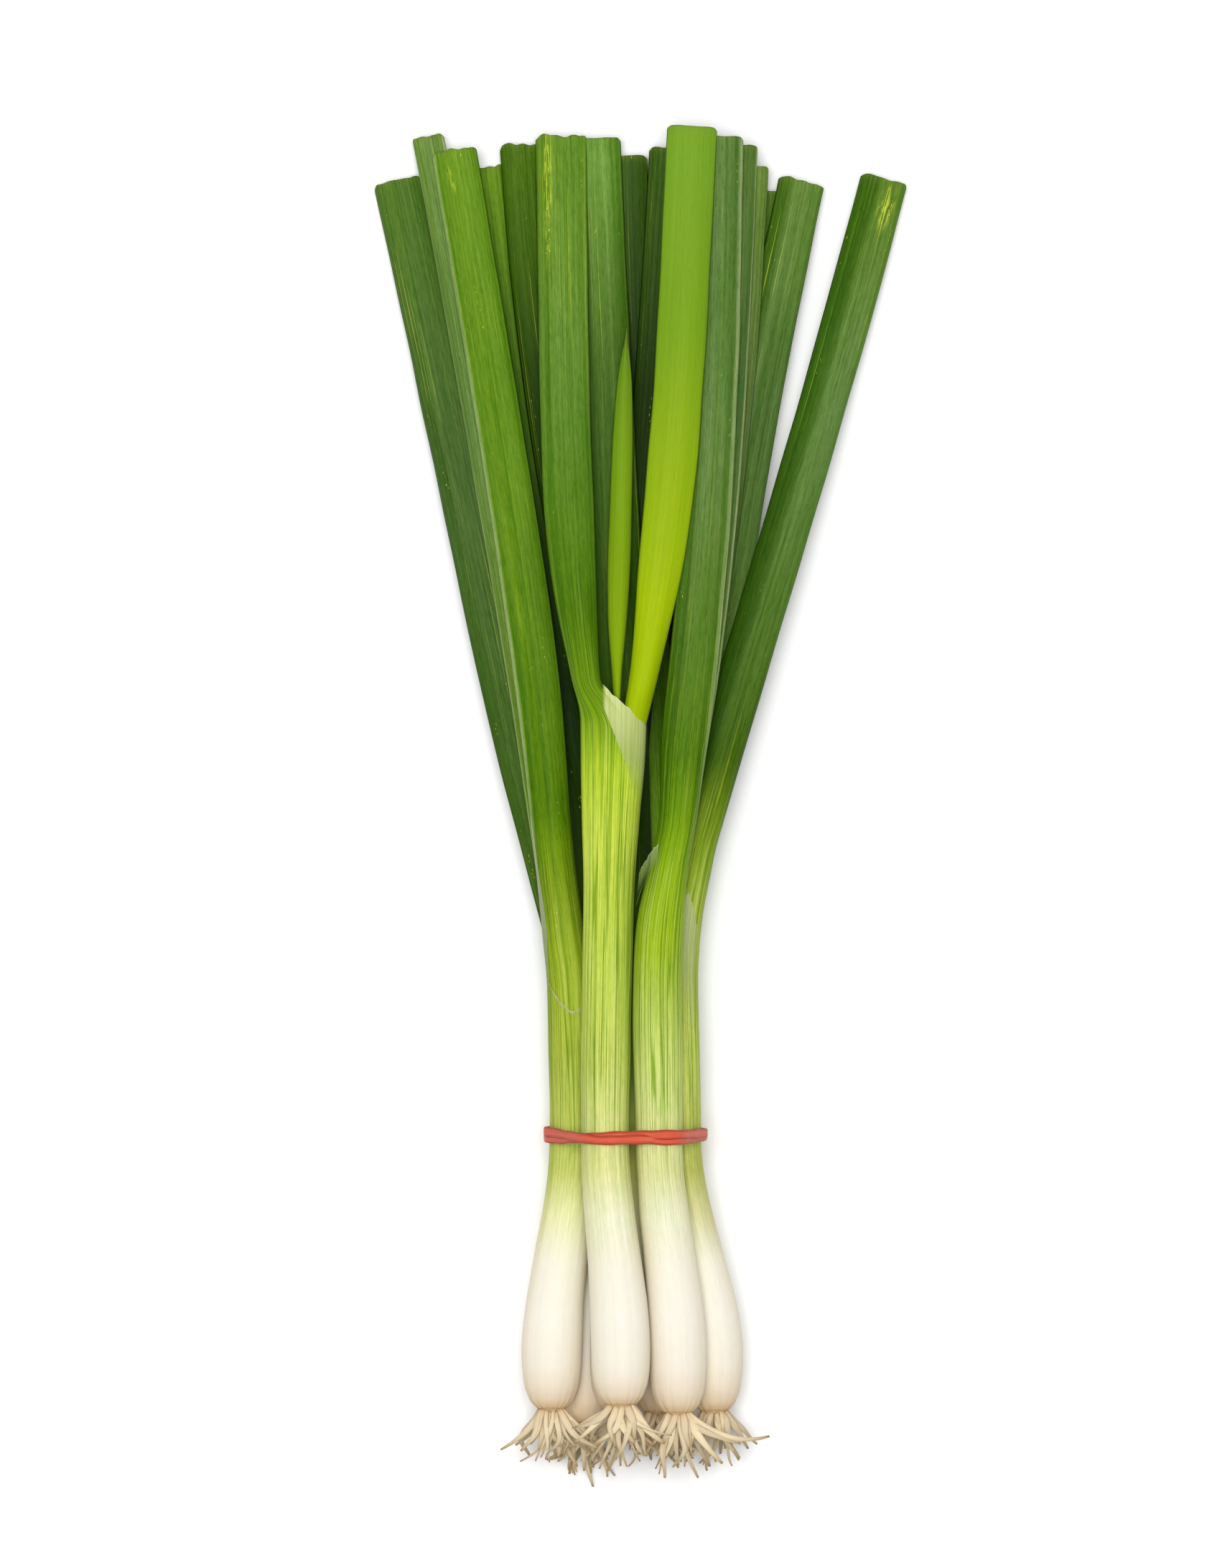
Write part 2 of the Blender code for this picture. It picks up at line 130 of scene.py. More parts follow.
# The cylinder that carries the grain round a piece, and how far apart the pieces' grains are.
GRAIN_RADIUS = 6.5 * MM
GRAIN_ASIDE = 70 * MM
GRAIN_ALONG = 900 * MM

# The studio light is a bit brighter than a white page, so the colours below are taken down by as much.
UNDER_LIGHT = 0.86

# Nothing reaches below the floor.
LOWEST = 0.02 * MM

ALONG_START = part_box("onion_5_stem")[0][1]

# ---- colours


def rgb(red, green, blue):
    """A colour given as 0 to 255 on a screen, as linear light."""
    return tuple(v / 3294.6 if v <= 10.3 else ((v / 255 + 0.055) / 1.055) ** 2.4 for v in (red, green, blue))


# What a colour is multiplied by on a leaf's shaded flank, and where its wax is rubbed off.
FLANK = (0.42, 0.58, 0.16)
RUBBED = (0.78, 0.94, 0.42)
DRY_RIM = rgb(120, 140, 60)
INNER_WALL = rgb(150, 172, 90)
PALE_EDGE = rgb(172, 190, 134)
# Painted warm shade, multiplied into the left and right sides of a white bulb and its lower sheath.
WARM_SIDE_SHADE = (1.0, 0.94, 0.84)
PALE_STREAK = rgb(202, 209, 142)
PLATE_SKIN = rgb(222, 186, 136)

# A leaf's looks: its colour near the neck, halfway and near the end, as 0 to 255 on a screen; how far its
# left and right flanks go towards the flank colour, where more than 1 makes the flank wider; how waxy it is;
# its creases and keels as (place across, depth, half width), in shares of the leaf's half width and
# millimetres; how ragged its cut end is, in millimetres; which edges have a pale line, and whether it is
# wide; where yellow scars gather, as (turn, length from the root plate, spread round, spread along); and
# whether it is the young leaf, which comes to a point.
Look = namedtuple("Look", "low mid high left right wax folds ragged pale scar young", defaults=(None, False))

# Two pairs of leaves deep in the bunch, which differ in their creases only. Their dark greens are partly
# painted shade.
DEEP_LEFT = Look((28, 50, 6), (44, 72, 12), (84, 116, 40), 0.3, 0.3, 0.4, (), 0.15, "")
DEEP_RIGHT = Look((26, 47, 5), (34, 58, 9), (80, 112, 44), 0.3, 0.3, 0.3, (), 0.15, "")

# The darkest colours below, on leaves deep in the bunch and in the gaps between stalks, are partly painted
# shade.
LOOKS = {
    "onion_1_leaf_1": Look((70, 100, 34), (77, 106, 51), (86, 120, 48), 0.0, 0.35, 0.5,
        ((0.15, 0.25, 0.5),), 0.14, ""),
    "onion_1_leaf_2": Look((108, 138, 28), (113, 141, 84), (118, 148, 78), 0.2, 0.0, 0.8,
        ((0.0, 0.3, 0.6),), 0.15, "both"),
    "onion_1_leaf_3": Look((90, 128, 9), (102, 142, 30), (111, 151, 38), 0.15, 0.2, 0.3,
        ((-0.42, 0.75, 0.26), (0.25, -0.25, 0.6)), 0.46, "wide left",
        (0.20, 0.327, 0.03, 0.004)),
    "onion_2_leaf_1": Look((86, 126, 11), (106, 143, 56), (109, 147, 46), 0.25, 0.1, 0.4,
        ((0.30, 0.30, 0.35), (-0.35, -0.2, 0.4)), 0.50, "",
        (0.145, 0.324, 0.030, 0.017)),
    "onion_2_leaf_2": Look((166, 190, 8), (124, 162, 32), (121, 163, 42), 0.05, 0.15, 0.2,
        ((-0.15, -0.15, 0.7),), 0.07, ""),
    "onion_2_leaf_3": Look((140, 172, 14), (128, 165, 26), (116, 154, 34), 0.15, 0.1, 0.1,
        ((0.25, -0.25, 0.5),), 0.0, "", None, True),
    "onion_3_leaf_1": Look((58, 86, 24), (96, 118, 64), (112, 139, 68), 0.5, 0.0, 0.5,
        ((0.2, 0.3, 0.5),), 0.10, ""),
    "onion_3_leaf_2": Look((88, 115, 52), (80, 109, 56), (92, 121, 60), 0.25, 0.0, 0.7,
        ((0.1, 0.35, 0.5),), 0.10, "both"),
    "onion_3_leaf_3": Look((92, 126, 28), (104, 134, 76), (100, 131, 70), 0.65, 0.2, 0.8,
        ((0.40, 0.40, 0.3), (-0.3, -0.2, 0.5)), 0.12, "wide right"),
    "onion_4_leaf_1": Look((34, 56, 10), (60, 88, 30), (88, 120, 45), 0.3, 0.3, 0.4,
        ((-0.2, 0.3, 0.5),), 0.15, ""),
    "onion_4_leaf_2": Look((86, 112, 46), (86, 116, 60), (104, 136, 66), 1.05, 0.0, 0.7,
        ((0.25, 0.35, 0.45),), 0.34, ""),
    "onion_4_leaf_3": Look((78, 110, 30), (102, 134, 72), (98, 132, 48), 1.5, 0.0, 0.6,
        ((-0.38, -0.35, 0.4), (0.45, 0.3, 0.3)), 0.15, "",
        (0.32, 0.319, 0.06, 0.005)),
    "onion_5_leaf_1": Look((26, 44, 10), (44, 67, 21), (76, 106, 38), 0.4, 0.5, 0.4,
        ((0.1, 0.3, 0.5),), 0.18, ""),
    "onion_5_leaf_2": Look((27, 49, 5), (42, 71, 8), (80, 114, 20), 0.2, 0.2, 0.2,
        ((-0.25, 0.4, 0.35), (0.3, 0.35, 0.3)), 0.48, ""),
    "onion_5_leaf_3": Look((60, 90, 18), (82, 114, 44), (118, 157, 68), 0.5, 0.55, 0.6,
        ((-0.1, -0.2, 0.8),), 0.08, ""),
    "onion_6_leaf_1": DEEP_LEFT._replace(folds=((0.1, 0.3, 0.5),)),
    "onion_6_leaf_2": DEEP_LEFT._replace(folds=((-0.1, 0.3, 0.5),)),
    "onion_6_leaf_3": Look((27, 50, 5), (62, 98, 12), (112, 150, 38), 0.1, 0.0, 0.2,
        ((0.05, 0.45, 0.4),), 0.44, ""),
    "onion_7_leaf_1": DEEP_RIGHT._replace(folds=((0.1, 0.3, 0.5),)),
    "onion_7_leaf_2": DEEP_RIGHT._replace(folds=((-0.2, 0.3, 0.5),)),
    "onion_7_leaf_3": Look((70, 104, 12), (28, 49, 9), (64, 91, 31), 0.2, 0.2, 0.3,
        ((-0.2, 0.3, 0.5),), 0.10, ""),
}
LEAF_STOPS = (0.20, 0.66, 0.96)

# The onions behind the front four have fainter veins, and the two bright leaves have few flecks.
HIDDEN = ("onion_5", "onion_6", "onion_7")
BRIGHT = ("onion_2_inner_leaf_2", "onion_2_inner_leaf_3")

# The skin's colour at lengths from the root plate: the white bulb is the same on every onion, and the sheath
# above it turns green at its own pace, up to a little past the neck.
BULB_STOPS = (0.000, 0.005, 0.012, 0.025, 0.040)
SHEATH_STOPS = (0.052, 0.063, 0.092, 0.121, 0.150, 0.172)
SHEATH_PAST_NECK = 0.038


def sheath(*colours, stops=SHEATH_STOPS):
    """Colour stops, from colours given as 0 to 255 on a screen."""
    return tuple((stop, rgb(*colour)) for stop, colour in zip(stops, colours))


BULB_SKIN = sheath(
    (228, 208, 178), (236, 222, 200), (243, 235, 219), (246, 241, 228), (244, 239, 220), stops=BULB_STOPS
)
# The sheath of the two onions at the back, whose dark green past the bulb is partly painted shade.
SHADED_BACK_SHEATH = sheath((216, 213, 160), (176, 180, 92), (112, 134, 44), (60, 86, 12), (34, 58, 7))

# One stalk for each onion: the leaf that its outer sheath grows into, and the sheath's colours.
Stalk = namedtuple(
    "Stalk",
    "onion leaf sheath waist mouth_before mouth_after",
    defaults=(NO_WAIST, MOUTH_BEFORE, MOUTH_AFTER),
)


def stalk_of(onion, leaf, *rest):
    return Stalk(f"onion_{onion}", f"onion_{onion}_leaf_{leaf}", *rest)


STALKS = (
    stalk_of(1, 3, sheath((231, 231, 176), (194, 201, 108), (162, 175, 62), (150, 171, 36), (108, 143, 9),
                          (98, 138, 8)), (1, 2.6 * MM, 0.145, 0.035)),
    stalk_of(2, 1, sheath((238, 237, 205), (219, 219, 152), (186, 197, 96), (182, 199, 78), (192, 206, 76),
                          (174, 197, 50), (122, 158, 14), stops=SHEATH_STOPS[:5] + (0.170, 0.184)),
             (-1, 1.2 * MM, 0.182, 0.022), 0.5 * MM, 12.5 * MM),
    stalk_of(3, 3, sheath((238, 237, 208), (219, 219, 158), (190, 203, 112), (152, 178, 34), (128, 163, 9),
                          (90, 128, 12)), (-1, 3.0 * MM, 0.152, 0.018)),
    stalk_of(4, 3, sheath((218, 215, 164), (192, 193, 106), (182, 194, 92), (172, 185, 74), (124, 150, 28),
                          (70, 102, 8))),
    stalk_of(5, 3, SHADED_BACK_SHEATH),
    stalk_of(6, 3, SHADED_BACK_SHEATH),
    stalk_of(7, 3, sheath((216, 213, 160), (176, 180, 92), (112, 134, 44), (122, 160, 30), (118, 160, 30),
                          (92, 132, 18))),
)


# ---- mathematics


def ease(share):
    share = np.clip(share, 0.0, 1.0)
    return share * share * (3.0 - 2.0 * share)


def ramp(stops, place):
    """The colour at each place along a ramp, as rows of red, green, blue."""
    places = [stop for stop, _ in stops]
    return np.stack([np.interp(place, places, [colour[k] for _, colour in stops]) for k in range(3)], axis=-1)


def mix(a, b, share):
    return a + (np.asarray(b) - a) * np.asarray(share)[..., None]


class Ripple:
    """A smooth random wave over a piece's skin: round it (turn, 0 to 1) and along it (metres)."""

    def __init__(self, chance, waves, length):
        self.parts = [
            (
                wave,
                chance.uniform(0, 2 * math.pi),
                chance.uniform(-1, 1) * 2 * math.pi / length,
                chance.uniform(0.5, 1.0) / math.sqrt(len(waves)),
            )
            for wave in waves
        ]

    def at(self, turn, along):
        return sum(
            size * np.sin(2 * math.pi * wave * turn + phase + drift * along)
            for wave, phase, drift, size in self.parts
        )


# ---- the CAD's rings


def node_rings(node):
    """A CAD stem's or leaf's rings as arrays of points, from the root end to the tip. A slanting last ring
    lies in no plane of constant Y, so it is all the points past the last whole ring, or None."""
    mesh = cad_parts[node].data
    points = np.empty(len(mesh.vertices) * 3)
    mesh.vertices.foreach_get("co", points)
    points = np.unique(points.reshape(-1, 3).round(6), axis=0)
    points = points[np.argsort(points[:, 1])]
    groups = np.split(points, np.flatnonzero(np.diff(points[:, 1]) > SAME_PLANE) + 1)
    whole = [k for k, group in enumerate(groups) if len(group) >= LEAF_RING]
    rings = [groups[k] for k in whole]
    slanted = np.vstack(groups[whole[-1] + 1 :]) if whole[-1] + 1 < len(groups) else None
    return rings, slanted


def stem_row(ring):
    """(y, x, z, half width, above, below, roll) of a stem's ring, which is an upright oval."""
    middle, half = (ring.min(0) + ring.max(0)) / 2, (ring.max(0) - ring.min(0)) / 2
    return middle[1], middle[0], middle[2], half[0], half[2], half[2], 0.0


def leaf_row(ring):
    """The same of a leaf's ring. Its two edges are the points that are furthest apart, or furthest left and
    right where the leaf is still thick and upright."""
    flat = ring[:, ::2]
    gaps = ((flat[:, None] - flat[None]) ** 2).sum(axis=2)
    ends = np.unravel_index(gaps.argmax(), gaps.shape)
    if np.ptp(flat[:, 1]) > THICK_SECTION * np.ptp(flat[:, 0]):
        ends = flat[:, 0].argmin(), flat[:, 0].argmax()
    left, right = sorted((ring[end] for end in ends), key=lambda point: point[0])
    middle = (left + right) / 2
    width = right[::2] - left[::2]
    half = math.hypot(*width) / 2
    unit = width / (2 * half)
    across = (flat - middle[::2]) @ unit
    up = (flat - middle[::2]) @ np.array((-unit[1], unit[0]))
    centre = up[np.abs(across) < half * 0.1]
    return middle[1], middle[0], middle[2], half, centre.max(), -centre.min(), -math.atan2(unit[1], unit[0])


def leaf_rows(rings, slanted):
    """All the rows of a leaf. Its slanted end is the last two whole rows carried straight on."""
    rows = [np.array(leaf_row(ring)) for ring in rings]
    if slanted is not None:
        share = (slanted[:, 1].mean() - rows[-1][0]) / (rows[-1][0] - rows[-2][0])
        rows.append(rows[-1] + (rows[-1] - rows[-2]) * share)
    return rows


def tip_slant(ring):
    """How far a leaf's last ring runs forward for each step across."""
    left, right = ring[ring[:, 0].argmin()], ring[ring[:, 0].argmax()]
    return (right[1] - left[1]) / (right[0] - left[0])


class Run:
    """A smooth run of sections: a cubic through the CAD's rows, and straight on past the two ends."""

    def __init__(self, rows):
        rows = np.array(rows)
        self.y, self.rows = rows[:, 0], rows[:, 1:]
        self.slopes = np.gradient(self.rows, self.y, axis=0)

    def at(self, y):
        k = np.clip(np.searchsorted(self.y, y) - 1, 0, len(self.y) - 2)
        gap = self.y[k + 1] - self.y[k]
        s = (np.clip(y, self.y[0], self.y[-1]) - self.y[k]) / gap
        s, gap = s[..., None], gap[..., None]
        rows = (
            (2 * s**3 - 3 * s**2 + 1) * self.rows[k]
            + (s**3 - 2 * s**2 + s) * gap * self.slopes[k]
            + (3 * s**2 - 2 * s**3) * self.rows[k + 1]
            + (s**3 - s**2) * gap * self.slopes[k + 1]
        )
        past = (np.minimum(y - self.y[0], 0))[..., None] * self.slopes[0, :2]
        rows[..., :2] += past + (np.maximum(y - self.y[-1], 0))[..., None] * self.slopes[-1, :2]
        return rows


class Skin:
    """The outer surface of a stalk or a leaf. turn goes round it: 0 is its left edge, 0.25 its top, 0.5 its
    right edge and 0.75 its underside. y is along the bunch."""

    def __init__(self, name, look, seed, leaf, stalk, inner=False):
        chance = random.Random(seed)
        rings, slanted = node_rings(leaf)
        self.name, self.look, self.seed, self.stalk, self.inner = name, look, seed, stalk, inner
        self.leaf = Run(leaf_rows(rings, slanted))
        self.stem = Run([stem_row(ring) for ring in node_rings(stalk.onion + "_stem")[0]])
        self.neck, self.tip = self.leaf.y[0], self.leaf.y[-1]
        self.start = self.neck - HIDDEN_START if inner else self.stem.y[0]
        self.slant = tip_slant(rings[-1] if slanted is None else slanted)
        self.tip_half = self.leaf.at(np.full(1, self.tip))[0, 2]
        self.broad = Ripple(chance, (2, 3, 4), 0.13)
        self.fine = Ripple(chance, (5, 7, 9), 0.16)
        self.edge = Ripple(chance, (0, 0, 0), 0.024)
        self.rag = Ripple(chance, (2, 3, 5, 8), 0.2)

    def rows(self, y):
        """x, z, half width, above, below and roll at each y."""
        y = np.asarray(y, dtype=float)
        if self.inner:
            rows = self.inside_sheath(y)
        else:
            before, after = self.stalk.mouth_before, self.stalk.mouth_after
            opened = ease((y - self.neck + before) / (before + after))[..., None]
            rows = self.stem.at(y) * (1 - opened) + self.leaf.at(y) * opened
            foot = (y - self.start) / FOOT_LENGTH
            rows[..., 2:5] *= (1 - FOOT_DRAW * np.exp(-(foot**2)))[..., None]
        side, depth, where, length = self.stalk.waist
        drawn = depth * np.exp(-(((y - ALONG_START - where) / length) ** 2))
        rows[..., 0] -= side * drawn / 2
        rows[..., 2] -= drawn / 2
        return rows

    def inside_sheath(self, y):
        """An inner leaf's rows. Its foot dives into the sheath: lower, flatter and nearer the middle."""
        rows = self.leaf.at(np.maximum(y, self.neck))
        stem = self.stem.at(np.minimum(y, self.neck))
        foot = self.stem.at(np.full(1, self.neck))
        rows[..., :2] += stem[..., :2] - foot[..., :2]
        sunk = ease((self.neck + DIVE_LENGTH - y) / (1.4 * DIVE_LENGTH))
        rows[..., 1] += (np.minimum(foot[..., 1] - DIVE_DEPTH, rows[..., 1]) - rows[..., 1]) * sunk
        rows[..., 3] *= 1 - 0.5 * sunk
        if self.look.young:
            rows[..., 2] *= YOUNG_WIDTH
            rows[..., 0] += YOUNG_SHIFT * ease((self.tip - y) / YOUNG_REACH)
        below = np.clip((self.neck - y) / HIDDEN_START, 0, 1)
        rows[..., 0] += (stem[..., 0] - rows[..., 0]) * below * 0.5
        rows[..., 2:5] *= (1 - (1 - HIDDEN_SIZE) * below)[..., None]
        return rows

    def points(self, y, turn, lift=0.0, inside=0.0, size=1.0):
        """Points of the skin, for arrays y and turn of one shape. lift is outward, inside is the depth of an
        inner wall, and size shrinks the section."""
        y, turn = np.broadcast_arrays(np.asarray(y, dtype=float), turn)
        y = y + self.cut(y, turn)
        x, z, half, above, below, roll = np.moveaxis(self.rows(y), -1, 0)
        along = y - self.start
        half = (half * (1 + EDGE_WANDER * self.edge.at(0, along)) - 1.3 * inside) * size
        over = turn % 1.0 < 0.5
        high = np.where(over, above, below) * size - inside
        # A round section is a circle's sine and cosine, and a flat one has its points evenly across.
        share = np.where(over, turn % 1.0, 1 - turn % 1.0) * 2
        flatness = 0.8 * np.clip(1 - np.abs(high) / half, 0, 1)
        across = -np.cos(math.pi * share) * (1 - flatness) + (2 * share - 1) * flatness
        round_up = np.sqrt(np.clip(1 - across**2, 0, 1))
        way = np.where(over, 1, -1)
        bump = lift + self.relief(turn, along, half, above)
        px = across * half + bump * across
        pz = way * round_up * high + bump * way * round_up
        pz = pz + self.folds(across, along, above, half)
        px, pz = px * np.cos(roll) + pz * np.sin(roll), pz * np.cos(roll) - px * np.sin(roll)
        return np.stack((x + px, y, z + pz), axis=-1)

    def relief(self, turn, along, half, above):
        """The skin's low relief: soft facets and ribs, and small puckers round a bulb's root plate."""
        flat = np.clip(1 - above / half, 0, 1)
        relief = self.broad.at(turn, along) * (FACETS + BLADE_FACETS * flat)
        relief = relief + self.fine.at(turn, along) * RIBS
        if self.inner:
            return relief
        pucker = np.sin(2 * math.pi * PUCKERS * turn + 1.5 * np.sin(2 * math.pi * 3 * turn))
        return relief * ease(along / RELIEF_START) - pucker * np.exp(-along / PUCKER_LENGTH) * PUCKER

    def folds(self, across, along, above, half):
        """Creases (down) and keels (up) that run along a leaf's blade, fading out in the round sheath."""
        blade = ease((along - (self.neck - self.start)) / FOLD_LENGTH) * np.clip(1 - above / half, 0, 1)
        drop = np.zeros(np.shape(across))
        for place, depth, width in self.look.folds:
            drop = drop + depth * MM * np.clip(1 - np.abs(across - place) / width, 0, 1)
        return -drop * blade

    def cut(self, y, turn):
        """How far forward the cut end stands: slanting with the leaf, round at the corners, a bit ragged."""
        near = np.clip((y - self.tip) / TIP_LENGTH + 1, 0, 1) ** 2
        half_turn = np.where(turn % 1.0 < 0.5, turn % 1.0, 1 - turn % 1.0)
        across = (4 * half_turn - 1) * 0.6 - np.cos(2 * math.pi * turn) * 0.4
        corner = np.clip((np.abs(across) - 0.78) / 0.22, 0, 1) ** 2 * CUT_CORNER
        ragged = self.look.ragged * MM * self.rag.at(half_turn, 0.0)
        return near * (self.slant * across * self.tip_half - corner - ragged)

    def stations(self):
        """The places along the piece that get a ring: close together at a bulb's crown and at the cut end."""
        first = self.start + (0.0 if self.inner else CROWN_LENGTH)
        last = self.tip - TIP_LENGTH
        crown = np.arange(self.start, first - FINE_STEP / 2, FINE_STEP)
        body = np.arange(first, last - RING_STEP / 2, RING_STEP)
        return np.concatenate((crown, body, np.linspace(last, self.tip, round(TIP_LENGTH / FINE_STEP) + 1)))


# ---- meshes


def add_mesh(name, points, faces, material, tint, grain, marks):
    """A smooth mesh object with the three attributes that the materials read."""
    mesh = bpy.data.meshes.new(name)
    points = np.array(points)
    points[:, 2] = np.maximum(points[:, 2], LOWEST)
    tint = tint * UNDER_LIGHT
    mesh.from_pydata(points.tolist(), [], faces)
    for label, kind, key, values in (
        ("tint", "FLOAT_COLOR", "color", np.concatenate((tint, np.ones((len(tint), 1))), axis=1)),
        ("grain", "FLOAT_VECTOR", "vector", grain),
        ("marks", "FLOAT_VECTOR", "vector", marks),
    ):
        mesh.attributes.new(label, kind, "POINT").data.foreach_set(key, values.astype(np.float32).ravel())
    mesh.materials.append(material)
    mesh.shade_smooth()
    obj = bpy.data.objects.new(name, mesh)
    bpy.context.scene.collection.objects.link(obj)
    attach(obj, BODY)
    return obj


def skin_faces(rings, sides, base=0):
    """Quads between rings that follow one another, and a fan to a middle point on each end. The two middle
    points come right after the rings."""
    faces = []
    for i in range(rings - 1):
        here, there = base + i * sides, base + (i + 1) * sides
        for j in range(sides):
            k = (j + 1) % sides
            faces.append((here + j, here + k, there + k, there + j))
    first, last = base + rings * sides, base + rings * sides + 1
    end = base + (rings - 1) * sides
    for j in range(sides):
        k = (j + 1) % sides
        faces.append((first, base + k, base + j))
        faces.append((last, end + j, end + k))
    return faces


def closed(rings):
    """Rings (n, m, 3) as a list of points with the two middle points after them."""
    middles = [rings[0].mean(axis=0), rings[-1].mean(axis=0)]
    return np.concatenate((rings.reshape(-1, rings.shape[-1]), middles))


def add_tube(name, rings, material, tint, grain, marks):
    faces = skin_faces(*rings.shape[:2])
    return add_mesh(name, closed(rings), faces, material, closed(tint), closed(grain), closed(marks))


def grain_of(turn, along, seed):
    """A place on a long cylinder, so that the veins have no seam. seed moves it elsewhere in the pattern."""
    angle = 2 * math.pi * turn
    x = np.cos(angle) * GRAIN_RADIUS + GRAIN_ASIDE * seed
    return np.stack((x, np.sin(angle) * GRAIN_RADIUS, along + GRAIN_ALONG * seed), axis=-1)


def stops_of(skin):
    """The skin's colours as stops along the bunch, from its start to its end."""
    neck, reach = skin.neck - ALONG_START, skin.tip - skin.neck
    leaf = tuple((neck + share * reach, rgb(*screen)) for share, screen in zip(LEAF_STOPS, skin.look[:3]))
    if skin.inner:
        return leaf
    grown = tuple(stop for stop in skin.stalk.sheath if stop[0] < neck + SHEATH_PAST_NECK)
    return BULB_SKIN + grown + leaf


def edged(tint, look, across, leafy):
    """A leaf's tint with its shaded flanks and the pale lines along its edges."""
    for way, amount in ((-1, look.left), (1, look.right)):
        begins = 0.28 - 0.5 * max(amount - 1.0, 0.0)
        flank = min(amount, 1.0) * ease((way * across - begins) / 0.40) * leafy
        tint = mix(tint, tint * FLANK, flank)
    begins = 0.90 if "wide" in look.pale else 0.94
    for way, word in ((-1, "left"), (1, "right")):
        lined = 0.62 if word in look.pale or look.pale == "both" else 0.0
        tint = mix(tint, PALE_EDGE, lined * ease((way * across - begins) / 0.04) * leafy)
    return tint


def colours(skin, y, turn, inner):
    """Tint and marks of a skin. marks are the strength of its veins, of its wax, and of yellow flecks."""
    look = skin.look
    along, neck = y - ALONG_START, skin.neck - ALONG_START
    leafy = ease((along - neck + 0.012) / 0.035)
    across = -np.cos(2 * math.pi * turn)
    tint = edged(ramp(stops_of(skin), along), look, across, leafy)
    dry = np.exp(-np.maximum(skin.tip - y, 0) / (0.8 * MM))
    tint = mix(tint, DRY_RIM, dry * 0.5)
    tint = mix(tint, INNER_WALL, inner * 0.6)
    if skin.inner:
        veins = np.full(np.shape(along), 0.12 if look.wax < 0.3 else 0.22)
    else:
        # Painted warm shade: the bulb and lower sheath darken towards their left and right sides.
        edge = 0.55 * ease((np.abs(across) - 0.45) / 0.5) * ease((0.075 - along) / 0.03)
        tint = mix(tint, tint * WARM_SIDE_SHADE, edge)
        tint = mix(tint, PLATE_SKIN, 0.9 * np.exp(-(along - skin.start + ALONG_START) / (1.9 * MM)))
        veins = np.interp(along, (0.036, 0.056, 0.085, neck, neck + 0.05), (0.0, 0.25, 1.0, 0.9, 0.22))
        tint = tint * (1 + 0.22 * veins * (1 - leafy))[..., None]
        veins = veins * (0.4 if skin.stalk.onion in HIDDEN else 1.0)
    flecks = ease((along - neck + 0.03) / 0.05) * (0.15 if skin.name in BRIGHT else 1.0)
    if look.scar:
        where, length, round_it, along_it = look.scar
        flecks = flecks + 4 * np.exp(-(((turn - where) / round_it) ** 2) - ((along - length) / along_it) ** 2)
    return tint, np.stack((veins, look.wax * leafy, flecks), axis=-1)


def cover(skin, y, sides, inside, size):
    """A skin's mesh, from the places along it and each place's depth inside and size."""
    y_grid, turn_grid = np.meshgrid(y, np.arange(sides) / sides, indexing="ij")
    rings = skin.points(y_grid, turn_grid, inside=inside[:, None], size=size[:, None])
    walls = np.broadcast_to((inside > 0)[:, None], y_grid.shape)
    tint, marks = colours(skin, y_grid, turn_grid, walls)
    grain = grain_of(turn_grid, y_grid - skin.start, skin.seed)
    return add_tube(skin.name, rings, SKIN, tint, grain, marks)


def add_skin(skin, sides):
    """A stalk or a leaf as one closed shape: its outside, the cut rim, and its inside some way down."""
    outer = skin.stations()
    inner = np.arange(skin.tip, skin.tip - INNER_DEPTH, -RING_STEP)
    inside = np.concatenate((np.zeros(len(outer)), np.full(len(inner), WALL)))
    return cover(skin, np.concatenate((outer, inner)), sides, inside, np.ones(len(inside)))


def add_pointed(skin, sides):
    """The young leaf, which ends in a point."""
    outer = skin.stations()
    point = np.linspace(0, 1, 9)[1:]
    y = np.concatenate((outer, skin.tip + point * POINT_LENGTH))
    size = np.concatenate((np.ones(len(outer)), np.maximum(1 - point, POINT_SIZE)))
    return cover(skin, y, sides, np.zeros(len(y)), size)


# ---- materials


